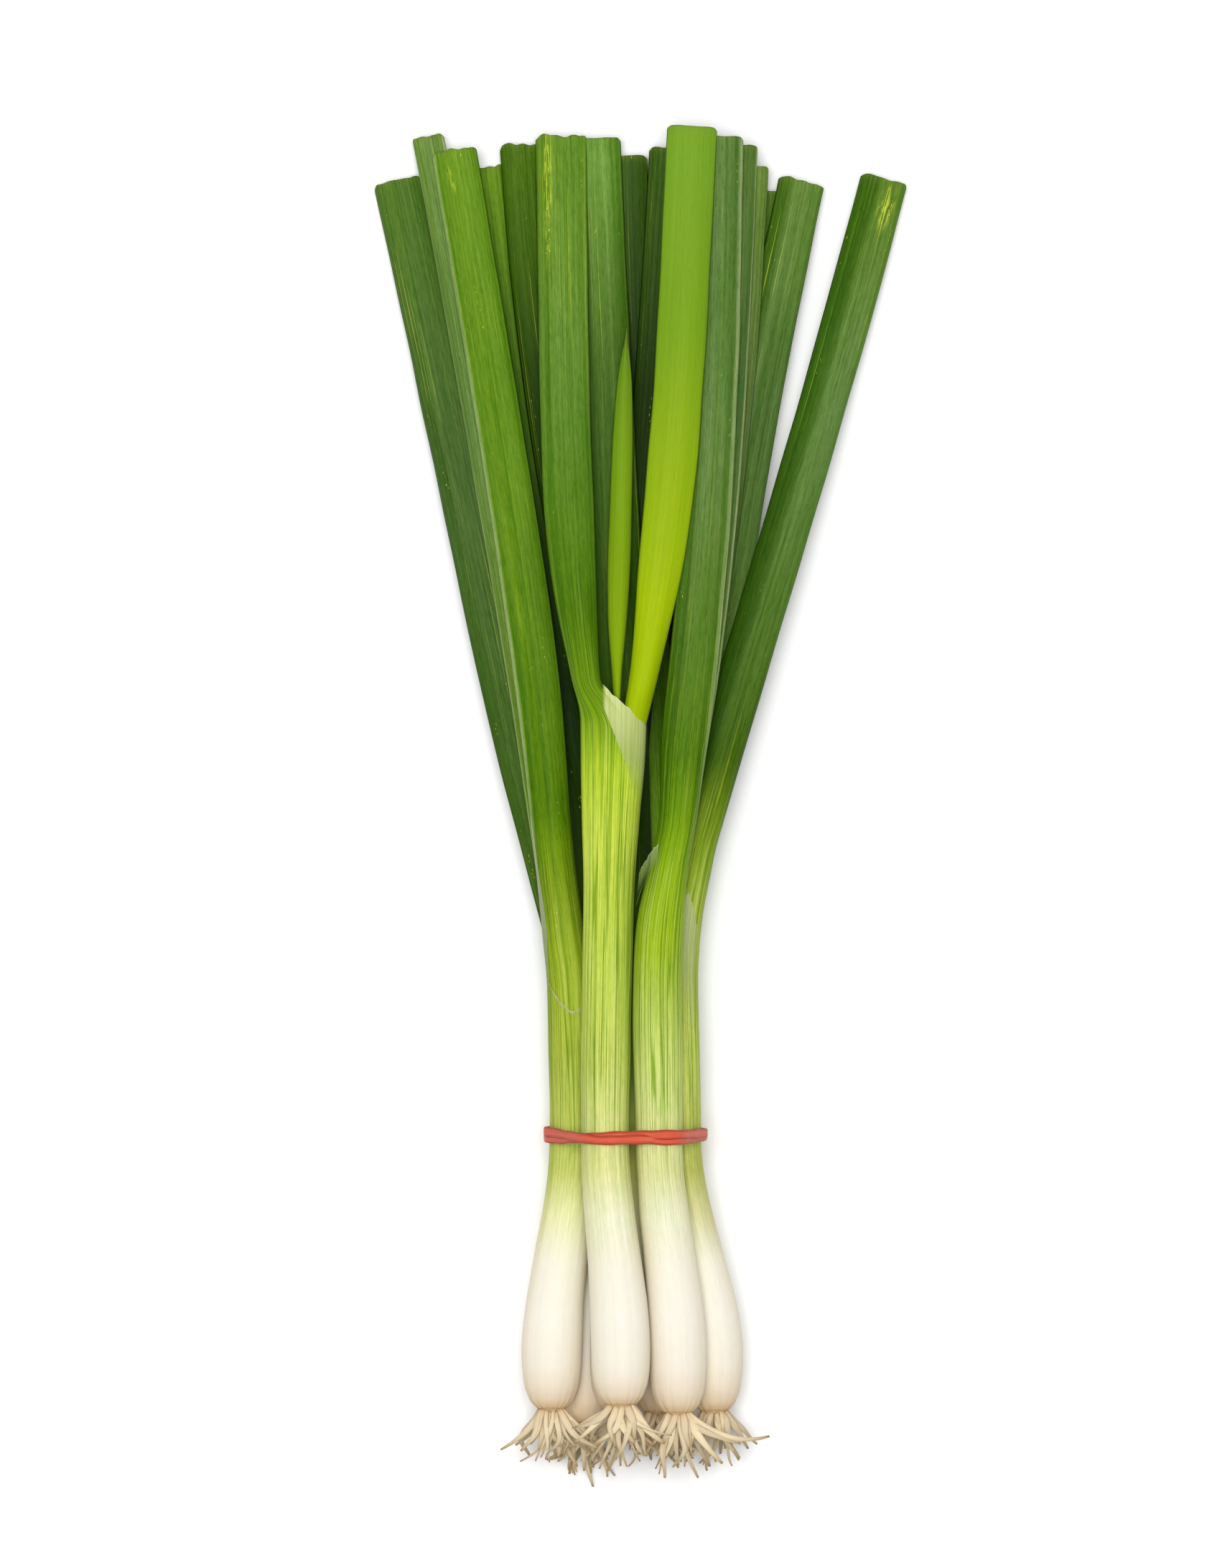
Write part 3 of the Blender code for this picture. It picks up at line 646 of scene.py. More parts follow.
class Nodes:
    """Short words for building a material's node tree."""

    def __init__(self, name, **sockets):
        self.material = bpy.data.materials.new(name)
        self.material.use_nodes = True
        self.tree = self.material.node_tree
        self.shader = self.tree.nodes["Principled BSDF"]
        for key, value in sockets.items():
            self.shader.inputs[key.replace("_", " ")].default_value = value

    def put(self, target, value):
        if isinstance(value, bpy.types.NodeSocket):
            self.tree.links.new(value, target)
        else:
            target.default_value = value

    def node(self, kind, output, settings=None, **inputs):
        node = self.tree.nodes.new("ShaderNode" + kind)
        for key, value in (settings or {}).items():
            setattr(node, key, value)
        for key, value in inputs.items():
            self.put(node.inputs[int(key[1:]) if key[0] == "i" and key[1:].isdigit() else key], value)
        return node.outputs[output]

    def attribute(self, name, output="Vector"):
        return self.node("Attribute", output, {"attribute_name": name})

    def maths(self, operation, a, b=0.0):
        return self.node("Math", 0, {"operation": operation}, i0=a, i1=b)

    def stretch(self, vector, across, along):
        return self.node("VectorMath", 0, {"operation": "MULTIPLY"}, i0=vector, i1=(across, across, along))

    def noise(self, vector, across, along, detail=2.0, roughness=0.5):
        place = self.stretch(vector, across, along)
        return self.node("TexNoise", "Fac", Vector=place, Scale=1.0, Detail=detail, Roughness=roughness)

    def cells(self, vector, across, along):
        place = self.stretch(vector, across, along)
        return self.node("TexVoronoi", "Distance", {"feature": "DISTANCE_TO_EDGE"}, Vector=place, Scale=1.0)

    def fit(self, value, low, high, to_low=0.0, to_high=1.0):
        return self.node("MapRange", 0, {"clamp": True}, i0=value, i1=low, i2=high, i3=to_low, i4=to_high)

    def blend(self, a, b, share, mode="MIX"):
        settings = {"data_type": "RGBA", "blend_type": mode, "clamp_factor": True}
        return self.node("Mix", 2, settings, i0=share, i6=a, i7=b)

    def times(self, *values):
        """The product of the values."""
        total = values[0]
        for value in values[1:]:
            total = self.maths("MULTIPLY", total, value)
        return total

    def shade(self, colour, by, share):
        """The colour multiplied by another, as far as share says."""
        return self.blend(colour, (*by, 1), share, "MULTIPLY")

    def lay(self, colour, over, share):
        """Another colour laid over the colour, as far as share says."""
        return self.blend(colour, (*over, 1), share)

    def marks(self):
        """A piece's three marks."""
        apart = self.node("SeparateXYZ", 0, i0=self.attribute("marks"))
        return apart.node.outputs[:3]

    def finish(self, colour, roughness, height, depth):
        self.put(self.shader.inputs["Base Color"], colour)
        self.put(self.shader.inputs["Roughness"], roughness)
        bump = self.node("Bump", "Normal", Height=height, Distance=depth, Strength=1.0)
        self.put(self.shader.inputs["Normal"], bump)
        return self.material


# What the skin's colour is multiplied by in its patches, streaks, long lines, veins and fine grain.
PATCH = (0.84, 0.90, 0.72)
DARK_STREAK = (0.66, 0.76, 0.50)
LIGHT_STREAK = (1.14, 1.10, 1.22)
DARK_LINE = (0.72, 0.83, 0.52)
LIGHT_LINE = (1.26, 1.15, 1.25)
VEIN = (0.38, 0.53, 0.16)
DARK_GRAIN = (0.70, 0.79, 0.56)
LIGHT_GRAIN = (1.22, 1.14, 1.10)

# Its yellow fibres, flecks and scars.
FIBRE = rgb(186, 198, 62)
FLECK = rgb(206, 210, 80)
SCAR = rgb(188, 200, 62)


def skin_material():
    """Onion skin and leaf: fine streaks, dark veins, wax that is rubbed off in bands, and pale flecks."""
    n = Nodes("onion_skin", IOR=1.42, Specular_IOR_Level=0.05)
    tint, grain = n.attribute("tint", "Color"), n.attribute("grain")
    veins, wax, flecks = n.marks()
    streaks = n.noise(grain, 1700, 20, 4.0, 0.65)
    bands = n.noise(grain, 190, 7, 5.0, 0.62)
    patches = n.noise(grain, 110, 26, 4.0, 0.6)
    speck = n.noise(grain, 1500, 300, 4.0, 0.72)
    lines = n.noise(grain, 620, 3.5, 3.0, 0.68)
    # A bulb is nearly plain. A sheath has strong streaks, and softer patches, lines and grain than a blade.
    streaky = n.maths("MAXIMUM", n.fit(veins, 0.0, 1.0, 0.08, 1.0), n.fit(flecks, 0.0, 1.0, 0.0, 0.85))
    soft = n.times(streaky, n.fit(veins, 0.3, 0.9, 1.0, 0.42))
    # Broad uneven patches, and light and dark streaks.
    colour = n.shade(tint, PATCH, n.times(n.fit(patches, 0.52, 0.36), soft))
    colour = n.shade(colour, DARK_STREAK, n.times(n.fit(streaks, 0.50, 0.34), streaky))
    light = n.times(n.fit(streaks, 0.54, 0.68), streaky)
    colour = n.shade(colour, LIGHT_STREAK, light)
    colour = n.lay(colour, PALE_STREAK, n.times(light, n.fit(veins, 0.3, 1.0, 0.0, 0.45)))
    # Long uneven lines.
    colour = n.shade(colour, DARK_LINE, n.times(n.fit(lines, 0.51, 0.38), soft))
    colour = n.shade(colour, LIGHT_LINE, n.times(n.fit(lines, 0.51, 0.64), soft))
    # Wax rubbed off.
    rubbed = n.times(n.fit(bands, 0.56, 0.36), wax)
    colour = n.shade(colour, RUBBED, rubbed)
    # Veins: long cells' edges, broken up along their length.
    broken = n.fit(n.noise(grain, 700, 30), 0.38, 0.54, 0.15, 1.0)
    wide = n.fit(n.cells(grain, 520, 5.0), 0.018, 0.046, 1.0, 0.0)
    thin = n.fit(n.cells(grain, 1700, 11.0), 0.03, 0.10, 0.6, 0.0)
    vein = n.times(n.maths("MAXIMUM", wide, thin), veins, broken)
    colour = n.shade(colour, VEIN, vein)
    # Yellow fibres, flecks and scars.
    fibre = n.fit(n.noise(grain, 2200, 7, 2.0, 0.5), 0.645, 0.70)
    colour = n.lay(colour, FIBRE, n.times(fibre, flecks, n.fit(patches, 0.42, 0.60), 0.55))
    spots = n.node("TexVoronoi", "Distance", {"feature": "F1"}, Vector=n.stretch(grain, 1500, 620), Scale=1.0)
    sparse = n.maths("ADD", n.noise(grain, 420, 60, 3.0), n.times(flecks, 0.06))
    colour = n.lay(colour, FLECK, n.times(n.fit(spots, 0.26, 0.12), n.fit(sparse, 0.72, 0.78), flecks, 0.8))
    torn = n.fit(n.noise(grain, 900, 190, 4.0, 0.7), 0.48, 0.60)
    colour = n.lay(colour, SCAR, n.times(n.fit(flecks, 1.4, 3.6), torn, 0.75))
    # Fine grain.
    colour = n.shade(colour, DARK_GRAIN, n.times(n.fit(speck, 0.50, 0.36), soft))
    colour = n.shade(colour, LIGHT_GRAIN, n.times(n.fit(speck, 0.52, 0.66), soft))
    rough = n.fit(rubbed, 0.0, 1.0, 0.50, 0.40)
    height = n.maths("SUBTRACT", n.times(n.maths("SUBTRACT", streaks, 0.5), streaky), vein)
    return n.finish(colour, rough, n.maths("ADD", height, n.times(speck, 0.10)), 0.10 * MM)


def root_material():
    """Roots: cream, fibrous, with grey-brown patches."""
    n = Nodes("roots", IOR=1.4, Specular_IOR_Level=0.25)
    tint, grain = n.attribute("tint", "Color"), n.attribute("grain")
    fibres = n.noise(grain, 2400, 60, 3.0, 0.6)
    patches = n.noise(grain, 500, 160, 3.0, 0.55)
    colour = n.shade(tint, (0.78, 0.68, 0.52), n.fit(fibres, 0.46, 0.28))
    colour = n.shade(colour, (0.84, 0.74, 0.60), n.fit(patches, 0.58, 0.75))
    rough = n.fit(patches, 0.3, 0.7, 0.5, 0.75)
    return n.finish(colour, rough, n.maths("ADD", fibres, patches), 0.12 * MM)


def film_material():
    """Dry inner skin: thin, pale and half see-through, with fine fibres."""
    n = Nodes("dry_film", IOR=1.4, Specular_IOR_Level=0.2)
    tint, grain = n.attribute("tint", "Color"), n.attribute("grain")
    alpha = n.marks()[0]
    fibres = n.noise(grain, 1700, 25, 3.0, 0.6)
    lines = n.fit(n.cells(grain, 640, 4.0), 0.02, 0.10, 1.0, 0.0)
    colour = n.shade(tint, (0.86, 0.90, 0.74), n.fit(fibres, 0.50, 0.30))
    colour = n.shade(colour, (0.84, 0.89, 0.70), lines)
    n.put(n.shader.inputs["Alpha"], n.times(alpha, n.fit(fibres, 0.3, 0.6, 0.80, 0.97)))
    return n.finish(colour, n.fit(fibres, 0.3, 0.7, 0.35, 0.5), fibres, 0.08 * MM)


def rubber_material():
    """Rubber band: matt red with fine moulded grooves, painted shade along them, and chalky wear."""
    n = Nodes("rubber", IOR=1.5, Specular_IOR_Level=0.3)
    tint, grain = n.attribute("tint", "Color"), n.attribute("grain")
    grooves = n.noise(grain, 2800, 16, 3.0, 0.65)
    chalk = n.noise(grain, 900, 240, 3.0, 0.6)
    # Painted shade along the fine grooves.
    colour = n.shade(tint, (0.62, 0.42, 0.38), n.fit(grooves, 0.48, 0.30))
    colour = n.lay(colour, (0.95, 0.36, 0.24), n.times(n.fit(chalk, 0.56, 0.78), 0.40))
    return n.finish(colour, n.fit(chalk, 0.3, 0.7, 0.34, 0.52), n.maths("ADD", grooves, chalk), 0.18 * MM)


SKIN = skin_material()
ROOT = root_material()
FILM = film_material()
RUBBER = rubber_material()


# ---- stalks, leaves

skins = {}
for number, stalk in enumerate(STALKS):
    skin = Skin(stalk.onion + "_stalk_and_outer_leaf", LOOKS[stalk.leaf], number + 1, stalk.leaf, stalk)
    skin.piece = add_skin(skin, STALK_SIDES)
    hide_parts(stalk.onion + "_stem", stalk.leaf)
    skins[stalk.onion] = skin
    for k in (1, 2, 3):
        leaf = f"{stalk.onion}_leaf_{k}"
        if leaf == stalk.leaf:
            continue
        look = LOOKS[leaf]
        inner = Skin(leaf.replace("leaf", "inner_leaf"), look, 10 * number + k + 20, leaf, stalk, True)
        piece = add_pointed(inner, YOUNG_SIDES) if look.young else add_skin(inner, LEAF_SIDES)
        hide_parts(leaf)


# ---- roots

ROOTS_EACH = 27
ROOT_SECTION = (
    (-1, 0), (-0.72, 0.8), (0, 0.42), (0.72, 0.8), (1, 0), (0.72, -0.8), (0, -0.42), (-0.72, -0.8)
)
ROOT_RINGS = 15

# The least and most of a root's length and width in millimetres, of its thickness over width, and of its sag.
# No root's middle line goes below ROOT_FLOOR.
ROOT_LENGTH = (9.5, 19.0)
ROOT_WIDTH = (1.1, 2.2)
ROOT_THICK = (0.36, 0.58)
ROOT_SAG = (14, 40)
ROOT_FLOOR = 0.6 * MM

# Roots leave the plate a golden angle apart, within ROOT_PLACE of the foot's half width, and lean outward by
# up to ROOT_LEAN, sideways and up.
GOLDEN_ANGLE = 2.399963
ROOT_PLACE = 0.86
ROOT_LEAN = (0.48, 0.50)

PLATE_SIDES = 28
PLATE_HEIGHT = 2.0 * MM
PLATE_SUNK = 0.6 * MM

ROOT_PALE = rgb(251, 233, 196)
ROOT_GREY = rgb(196, 178, 148)
ROOT_TIP = rgb(190, 156, 98)
ROOT_TOP = rgb(214, 172, 118)
PLATE = rgb(214, 184, 138)

# Long roots that sweep aside: the onion; where it starts, as shares of the foot across and up; its way (x, y)
# at first; how fast it turns, in radians for each metre; and its length and width in millimetres.
SWEEPS = (
    ("onion_1", 0.72, 0.45, (0.50, -0.87), 62, 12.0, 1.9),
    ("onion_2", 0.70, 0.55, (0.42, -0.90), 40, 14.0, 2.6),
    ("onion_2", -0.80, 0.30, (-0.55, -0.84), -25, 14.0, 1.8),
    ("onion_3", 0.75, 0.55, (0.62, -0.78), 48, 24.0, 2.0),
    ("onion_3", 0.50, 0.60, (0.45, -0.90), 20, 17.0, 2.3),
)


def root_path(start, way, length, chance):
    """A root's middle line: out of the plate, sagging towards the table, curling a little."""
    step = length / (ROOT_RINGS - 1)
    curl = np.array((chance.gauss(0, 1), chance.gauss(0, 0.4), chance.gauss(0, 0.6))) * 60
    twist = np.array((chance.gauss(0, 1), 0.0, chance.gauss(0, 0.5))) * 90
    sag = chance.uniform(*ROOT_SAG)
    point, points = np.array(start), []
    for k in range(ROOT_RINGS):
        points.append(point.copy())
        way = way + (curl + twist * math.sin(k * 0.6) + np.array((0, 0, -sag))) * step
        way = way / np.linalg.norm(way)
        point = point + way * step
        if point[2] < ROOT_FLOOR:
            point[2] = ROOT_FLOOR
            way[2] = abs(way[2]) * 0.1
    return np.array(points)


def sweep_path(start, way, turning, length):
    """The middle line of a root that sweeps aside in an even curve, sinking a little."""
    step = length / (ROOT_RINGS - 1)
    angles = math.atan2(way[1], way[0]) + turning * step * np.arange(ROOT_RINGS)
    sinking = -0.25 + 0.4 * np.linspace(0, 1, ROOT_RINGS)
    steps = np.stack((np.cos(angles), np.sin(angles), sinking), axis=-1) * step
    return np.array(start) + np.cumsum(steps, axis=0) - steps[0]


def root_rings(path, width, thick, twist):
    """Flattened rings with a crease down each side, along a path. The end is blunt."""
    tangents = np.gradient(path, axis=0)
    tangents /= np.linalg.norm(tangents, axis=1)[:, None]
    rings = []
    for k, (point, tangent) in enumerate(zip(path, tangents)):
        share = k / (len(path) - 1)
        side = np.cross(tangent, (math.sin(twist), 0.0, math.cos(twist)))
        side /= np.linalg.norm(side)
        up = np.cross(side, tangent)
        size = (0.80 + 0.30 * math.sin(math.pi * min(share * 1.5, 1))) * (1 - 0.62 * share**2.5)
        rings.append(
            [point + side * a * width / 2 * size + up * b * thick / 2 * size for a, b in ROOT_SECTION]
        )
    return np.array(rings)


def plate_rings(x, y, z, radius, chance):
    """The basal plate: a shallow knobbly dome on the bulb's end."""
    turns = np.arange(PLATE_SIDES) * 2 * math.pi / PLATE_SIDES
    rings = []
    for share in (0.0, 0.25, 0.5, 0.75, 1.0):
        r = radius * math.cos(share * 1.15) * (1 + 0.07 * np.array([chance.uniform(-1, 1) for _ in turns]))
        level = np.full(PLATE_SIDES, y - share * PLATE_HEIGHT)
        rings.append(np.stack((x + r * np.cos(turns), level, z + r * np.sin(turns)), axis=-1))
    return np.array(rings)[::-1]


def root_tint(grey, light, browning):
    """A root's colour along its length: tan where it leaves the plate, cream or grey, and a brown tip."""
    share = np.linspace(0, 1, ROOT_RINGS)[:, None] * np.ones((1, len(ROOT_SECTION)))
    body = mix(np.array(ROOT_PALE)[None] * light, ROOT_GREY, [grey])[0]
    tint = mix(np.broadcast_to(body, (*share.shape, 3)), ROOT_TOP, 0.6 * np.exp(-share / 0.10))
    return mix(tint, ROOT_TIP, share**5 * browning)


class Tuft:
    """One onion's plate and roots, gathered into one mesh."""

    def __init__(self, seed):
        self.seed, self.size = seed, 0
        self.points, self.faces, self.tints, self.grains = [], [], [], []

    def take(self, rings, tint):
        count, sides = rings.shape[:2]
        turn, along = np.meshgrid(np.arange(sides) / sides, np.arange(count) * 1.2 * MM)
        self.faces += skin_faces(count, sides, self.size)
        self.points.append(closed(rings))
        self.tints.append(closed(tint))
        self.grains.append(closed(grain_of(turn, along, len(self.points) * 0.37 + self.seed)))
        self.size += len(self.points[-1])

    def add(self, name):
        tint = np.clip(np.concatenate(self.tints), 0, 1)
        points, grain = np.concatenate(self.points), np.concatenate(self.grains)
        return add_mesh(name, points, self.faces, ROOT, tint, grain, np.zeros(tint.shape))


def add_roots(onion, skin, seed):
    chance = random.Random(seed)
    tuft = Tuft(seed)
    x, z, half, *_ = skin.rows(np.array([skin.start]))[0]
    y = skin.start
    plate = plate_rings(x, y + PLATE_SUNK, z, half * 0.96, chance)
    tuft.take(plate, np.broadcast_to(PLATE, plate.shape))
    for k in range(ROOTS_EACH):
        spread = math.sqrt((k + 0.5) / ROOTS_EACH)
        angle = k * GOLDEN_ANGLE + chance.uniform(-0.2, 0.2)
        side, up = math.cos(angle) * spread, math.sin(angle) * spread
        level = y - 0.8 * MM * (1 - spread) - 0.1 * MM
        start = (x + side * half * ROOT_PLACE, level, z + up * half * ROOT_PLACE)
        way = np.array((side * ROOT_LEAN[0], -1.0, up * ROOT_LEAN[1]))
        way = way + np.array([chance.gauss(0, 0.14) for _ in range(3)])
        length = chance.uniform(*ROOT_LENGTH) * MM * (1 - 0.10 * spread)
        path = root_path(start, way / np.linalg.norm(way), length, chance)
        width = chance.uniform(*ROOT_WIDTH) * MM
        rings = root_rings(path, width, width * chance.uniform(*ROOT_THICK), chance.uniform(-0.6, 0.6))
        grey = np.clip(0.25 - 0.8 * up + chance.uniform(-0.3, 0.3), 0, 1)
        tuft.take(rings, root_tint(grey, chance.uniform(0.88, 1.06), 0.8))
    for name, side, up, way, turning, length, width in SWEEPS:
        if name == onion:
            start = (x + side * half * ROOT_PLACE, y, z + up * half * ROOT_PLACE)
            path = sweep_path(start, way, turning, length * MM)
            tuft.take(root_rings(path, width * MM, width * 0.42 * MM, 0.0), root_tint(0.0, 1.04, 1.0))
    piece = tuft.add(onion + "_root_tuft")
    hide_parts(onion + "_roots")


for number, stalk in enumerate(STALKS):
    add_roots(stalk.onion, skins[stalk.onion], 40 + number)


# ---- band

BAND_LOW, BAND_HIGH = (np.array(corner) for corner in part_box("rubber_band"))
BAND_STEPS = 220
STRAND_SIDES = 14
STRAND_WIDTH = 2.5 * MM
STRAND_THICK = 1.0 * MM
STRAND_SUNK = 0.35 * MM
RUBBER_RED = rgb(232, 98, 66)
# Painted shade along each strand's two rounded edges.
RUBBER_EDGE_SHADE = rgb(176, 34, 30)

# The band's two turns: how far each stands forward, and how far out, in millimetres, at shares of the way
# from the left to the right over the top of the bunch.
BAND_TURNS = (
    (
        "rubber_band_first_turn",
        ((0.0, 0.06, 0.34, 0.62, 0.78, 1.0), (0.95, 0.85, -0.75, -0.45, -0.95, -0.25)),
        ((0.0, 0.05, 0.60, 0.75, 1.0), (0.5, 0.7, 0.55, 0.0, 0.0)),
    ),
    (
        "rubber_band_second_turn",
        ((0.0, 0.08, 0.45, 0.80, 1.0), (-0.85, -0.80, 0.45, 0.70, 0.60)),
        ((0.0, 0.55, 0.75, 1.0), (0.0, 0.0, 0.6, 0.4)),
    ),
)


def band_line():
    """The CAD band's outer edge as a smooth closed line: evenly spaced rows of x, z."""
    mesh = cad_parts["rubber_band"].data
    points = np.array([vert.co[:] for vert in mesh.vertices])[:, ::2]
    middle = (points.min(0) + points.max(0)) / 2
    turns = np.arange(BAND_STEPS) * 2 * math.pi / BAND_STEPS
    outward = np.stack((np.cos(turns), np.sin(turns)), axis=-1)
    line = points[((points - middle) @ outward.T).argmax(axis=0)]
    line = np.vstack((line, line[:1]))
    reach = np.concatenate(([0], np.cumsum(np.linalg.norm(np.diff(line, axis=0), axis=1))))
    even = np.linspace(0, reach[-1], BAND_STEPS, endpoint=False)
    line = np.stack([np.interp(even, reach, line[:, k]) for k in range(2)], axis=-1)
    for _ in range(2):
        line = (np.roll(line, 1, axis=0) + 2 * line + np.roll(line, -1, axis=0)) / 4
    return line


def smooth_round(values, times):
    for _ in range(times):
        values = (np.roll(values, 1) + 2 * values + np.roll(values, -1)) / 4
    return values


def add_strand(name, sway, lift, seed):
    """One turn of the band: a flat strand with rounded edges. sway and lift are its stops in BAND_TURNS."""
    line = band_line()
    share = (line[:, 0] - line[:, 0].min()) / np.ptp(line[:, 0])
    over = line[:, 1] > line[:, 1].mean()
    under = np.interp(share, (0, 1), (sway[1][0], sway[1][-1]))
    forward = smooth_round(np.where(over, np.interp(share, *sway), under), 3) * MM
    out = smooth_round(np.where(over, np.interp(share, *lift), 0.0), 3) * MM
    tangent = np.roll(line, -1, axis=0) - np.roll(line, 1, axis=0)
    length = np.concatenate(([0], np.cumsum(np.linalg.norm(np.diff(line, axis=0), axis=1))))
    normal = np.stack((tangent[:, 1], -tangent[:, 0]), axis=-1)
    normal /= np.maximum(np.linalg.norm(normal, axis=1), 1e-9)[:, None]
    middle_y = (BAND_LOW[1] + BAND_HIGH[1]) / 2
    angles = 2 * math.pi * np.arange(STRAND_SIDES) / STRAND_SIDES
    flat = np.sign(np.cos(angles)) * np.abs(np.cos(angles)) ** 0.6
    tall = np.sign(np.sin(angles)) * np.abs(np.sin(angles)) ** 0.8
    uneven = 1 + 0.06 * np.sin(length * 900 + seed) + 0.05 * np.sin(length * 370 + 2 * seed)
    reach = (out - STRAND_SUNK)[:, None] + tall * STRAND_THICK / 2
    x = line[:, :1] + normal[:, :1] * reach
    y = middle_y + forward[:, None] + flat * (STRAND_WIDTH / 2 * uneven)[:, None]
    z = line[:, 1:] + normal[:, 1:] * reach
    points = np.stack((x, y, z), axis=-1).reshape(-1, 3)
    faces = []
    for k in range(BAND_STEPS):
        here, there = k * STRAND_SIDES, (k + 1) % BAND_STEPS * STRAND_SIDES
        for j in range(STRAND_SIDES):
            a = (j + 1) % STRAND_SIDES
            faces.append((here + j, there + j, there + a, here + a))
    turn = np.tile(np.arange(STRAND_SIDES) / STRAND_SIDES, BAND_STEPS)
    grain = grain_of(turn, np.repeat(length, STRAND_SIDES), seed)
    # Painted shade: each strand darkens towards its two rounded side edges.
    rim = np.tile(np.abs(flat) ** 3, BAND_STEPS)
    tint = mix(np.broadcast_to(RUBBER_RED, points.shape), RUBBER_EDGE_SHADE, rim * 0.9)
    piece = add_mesh(name, points, faces, RUBBER, tint, grain, np.zeros(points.shape))
    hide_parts("rubber_band")


for number, turn in enumerate(BAND_TURNS):
    add_strand(*turn, 61 + number)


# ---- torn dry skin

FILM_RIM = rgb(232, 238, 204)
FILM_COLUMNS = 36
FILM_ROWS = 40
FILM_THICK = 0.08 * MM
FILM_GAP = 0.12 * MM
FILM_RIM_WIDTH = 0.7 * MM
FILM_TEAR = 0.3 * MM
HIGH_UP = 1.0

# A flap of dry skin on a stalk: where it is round the stalk (turns), and its lower and upper edges as lengths
# from the root plate at even shares of the way round; how far below its upper edge it fades out; how far it
# stands up; its colour and strength; and whether it closes over the stalk's mouth.
Flap = namedtuple("Flap", "name onion turns low high fade lift tint strength over_mouth")

FLAPS = (
    Flap("onion_2_sheath_film", "onion_2", (0.205, 0.53), (0.1863, 0.1765, 0.1670, 0.1590, 0.1510),
         (0.1917, 0.1880, 0.1846, 0.1820, 0.1795), 23 * MM, 0.25 * MM, rgb(218, 229, 148), 0.92, True),
    Flap("onion_1_pale_strip", "onion_1", (0.02, 0.11), (0.1100, 0.1120, 0.1160, 0.1200, 0.1260),
         (0.1560, 0.1590, 0.1500, 0.1400, 0.1320), 60 * MM, 0.10 * MM, rgb(200, 206, 176), 0.8, False),
    Flap("onion_1_torn_ring", "onion_1", (0.04, 0.33), (0.1146, 0.1102, 0.1064, 0.1044, 0.1056),
         (0.1155, 0.1112, 0.1073, 0.1053, 0.1066), 6 * MM, 0.20 * MM, rgb(206, 208, 142), 0.6, False),
    Flap("onion_3_mouth_film", "onion_3", (0.03, 0.20), (0.1330, 0.1360, 0.1390, 0.1420, 0.1450),
         (0.1415, 0.1435, 0.1455, 0.1480, 0.1500), 7 * MM, 0.20 * MM, rgb(170, 192, 116), 0.5, True),
    Flap("onion_4_pale_wedge", "onion_4", (0.25, 0.41), (0.1060, 0.1040, 0.1020, 0.1010, 0.1000),
         (0.1350, 0.1370, 0.1340, 0.1300, 0.1260), 34 * MM, 0.12 * MM, rgb(218, 226, 168), 0.62, False),
)


class Whole(Skin):
    """A stalk's sheath as if it went on past its mouth, for the skin that still closes over the mouth."""

    def __init__(self, skin):
        self.__dict__.update(skin.__dict__)

    def rows(self, y):
        return self.stem.at(np.asarray(y, dtype=float))


def drape(points, piece, gap):
    """Points lifted to clear a piece's upper side."""
    corners = [vert.co[:] for vert in piece.data.vertices]
    tree = BVHTree.FromPolygons(corners, [face.vertices[:] for face in piece.data.polygons])
    for point in points.reshape(-1, 3):
        hit = tree.ray_cast(Vector((point[0], point[1], HIGH_UP)), Vector((0, 0, -1)))[0]
        if hit is not None:
            point[2] = max(point[2], hit.z + gap)
    return points


def film_faces(rows, columns):
    """Faces of a thin closed sheet whose upper grid of points comes first and whose lower grid follows."""

    def at(i, j, side=0):
        return (side * rows + i) * columns + j

    faces = []
    for i in range(rows - 1):
        for j in range(columns - 1):
            faces.append((at(i, j), at(i, j + 1), at(i + 1, j + 1), at(i + 1, j)))
            faces.append((at(i, j, 1), at(i + 1, j, 1), at(i + 1, j + 1, 1), at(i, j + 1, 1)))
    top, right = rows - 1, columns - 1
    for j in range(columns - 1):
        faces.append((at(0, j), at(0, j, 1), at(0, j + 1, 1), at(0, j + 1)))
        faces.append((at(top, j), at(top, j + 1), at(top, j + 1, 1), at(top, j, 1)))
    for i in range(rows - 1):
        faces.append((at(i, 0), at(i + 1, 0), at(i + 1, 0, 1), at(i, 0, 1)))
        faces.append((at(i, right), at(i, right, 1), at(i + 1, right, 1), at(i + 1, right)))
    return faces


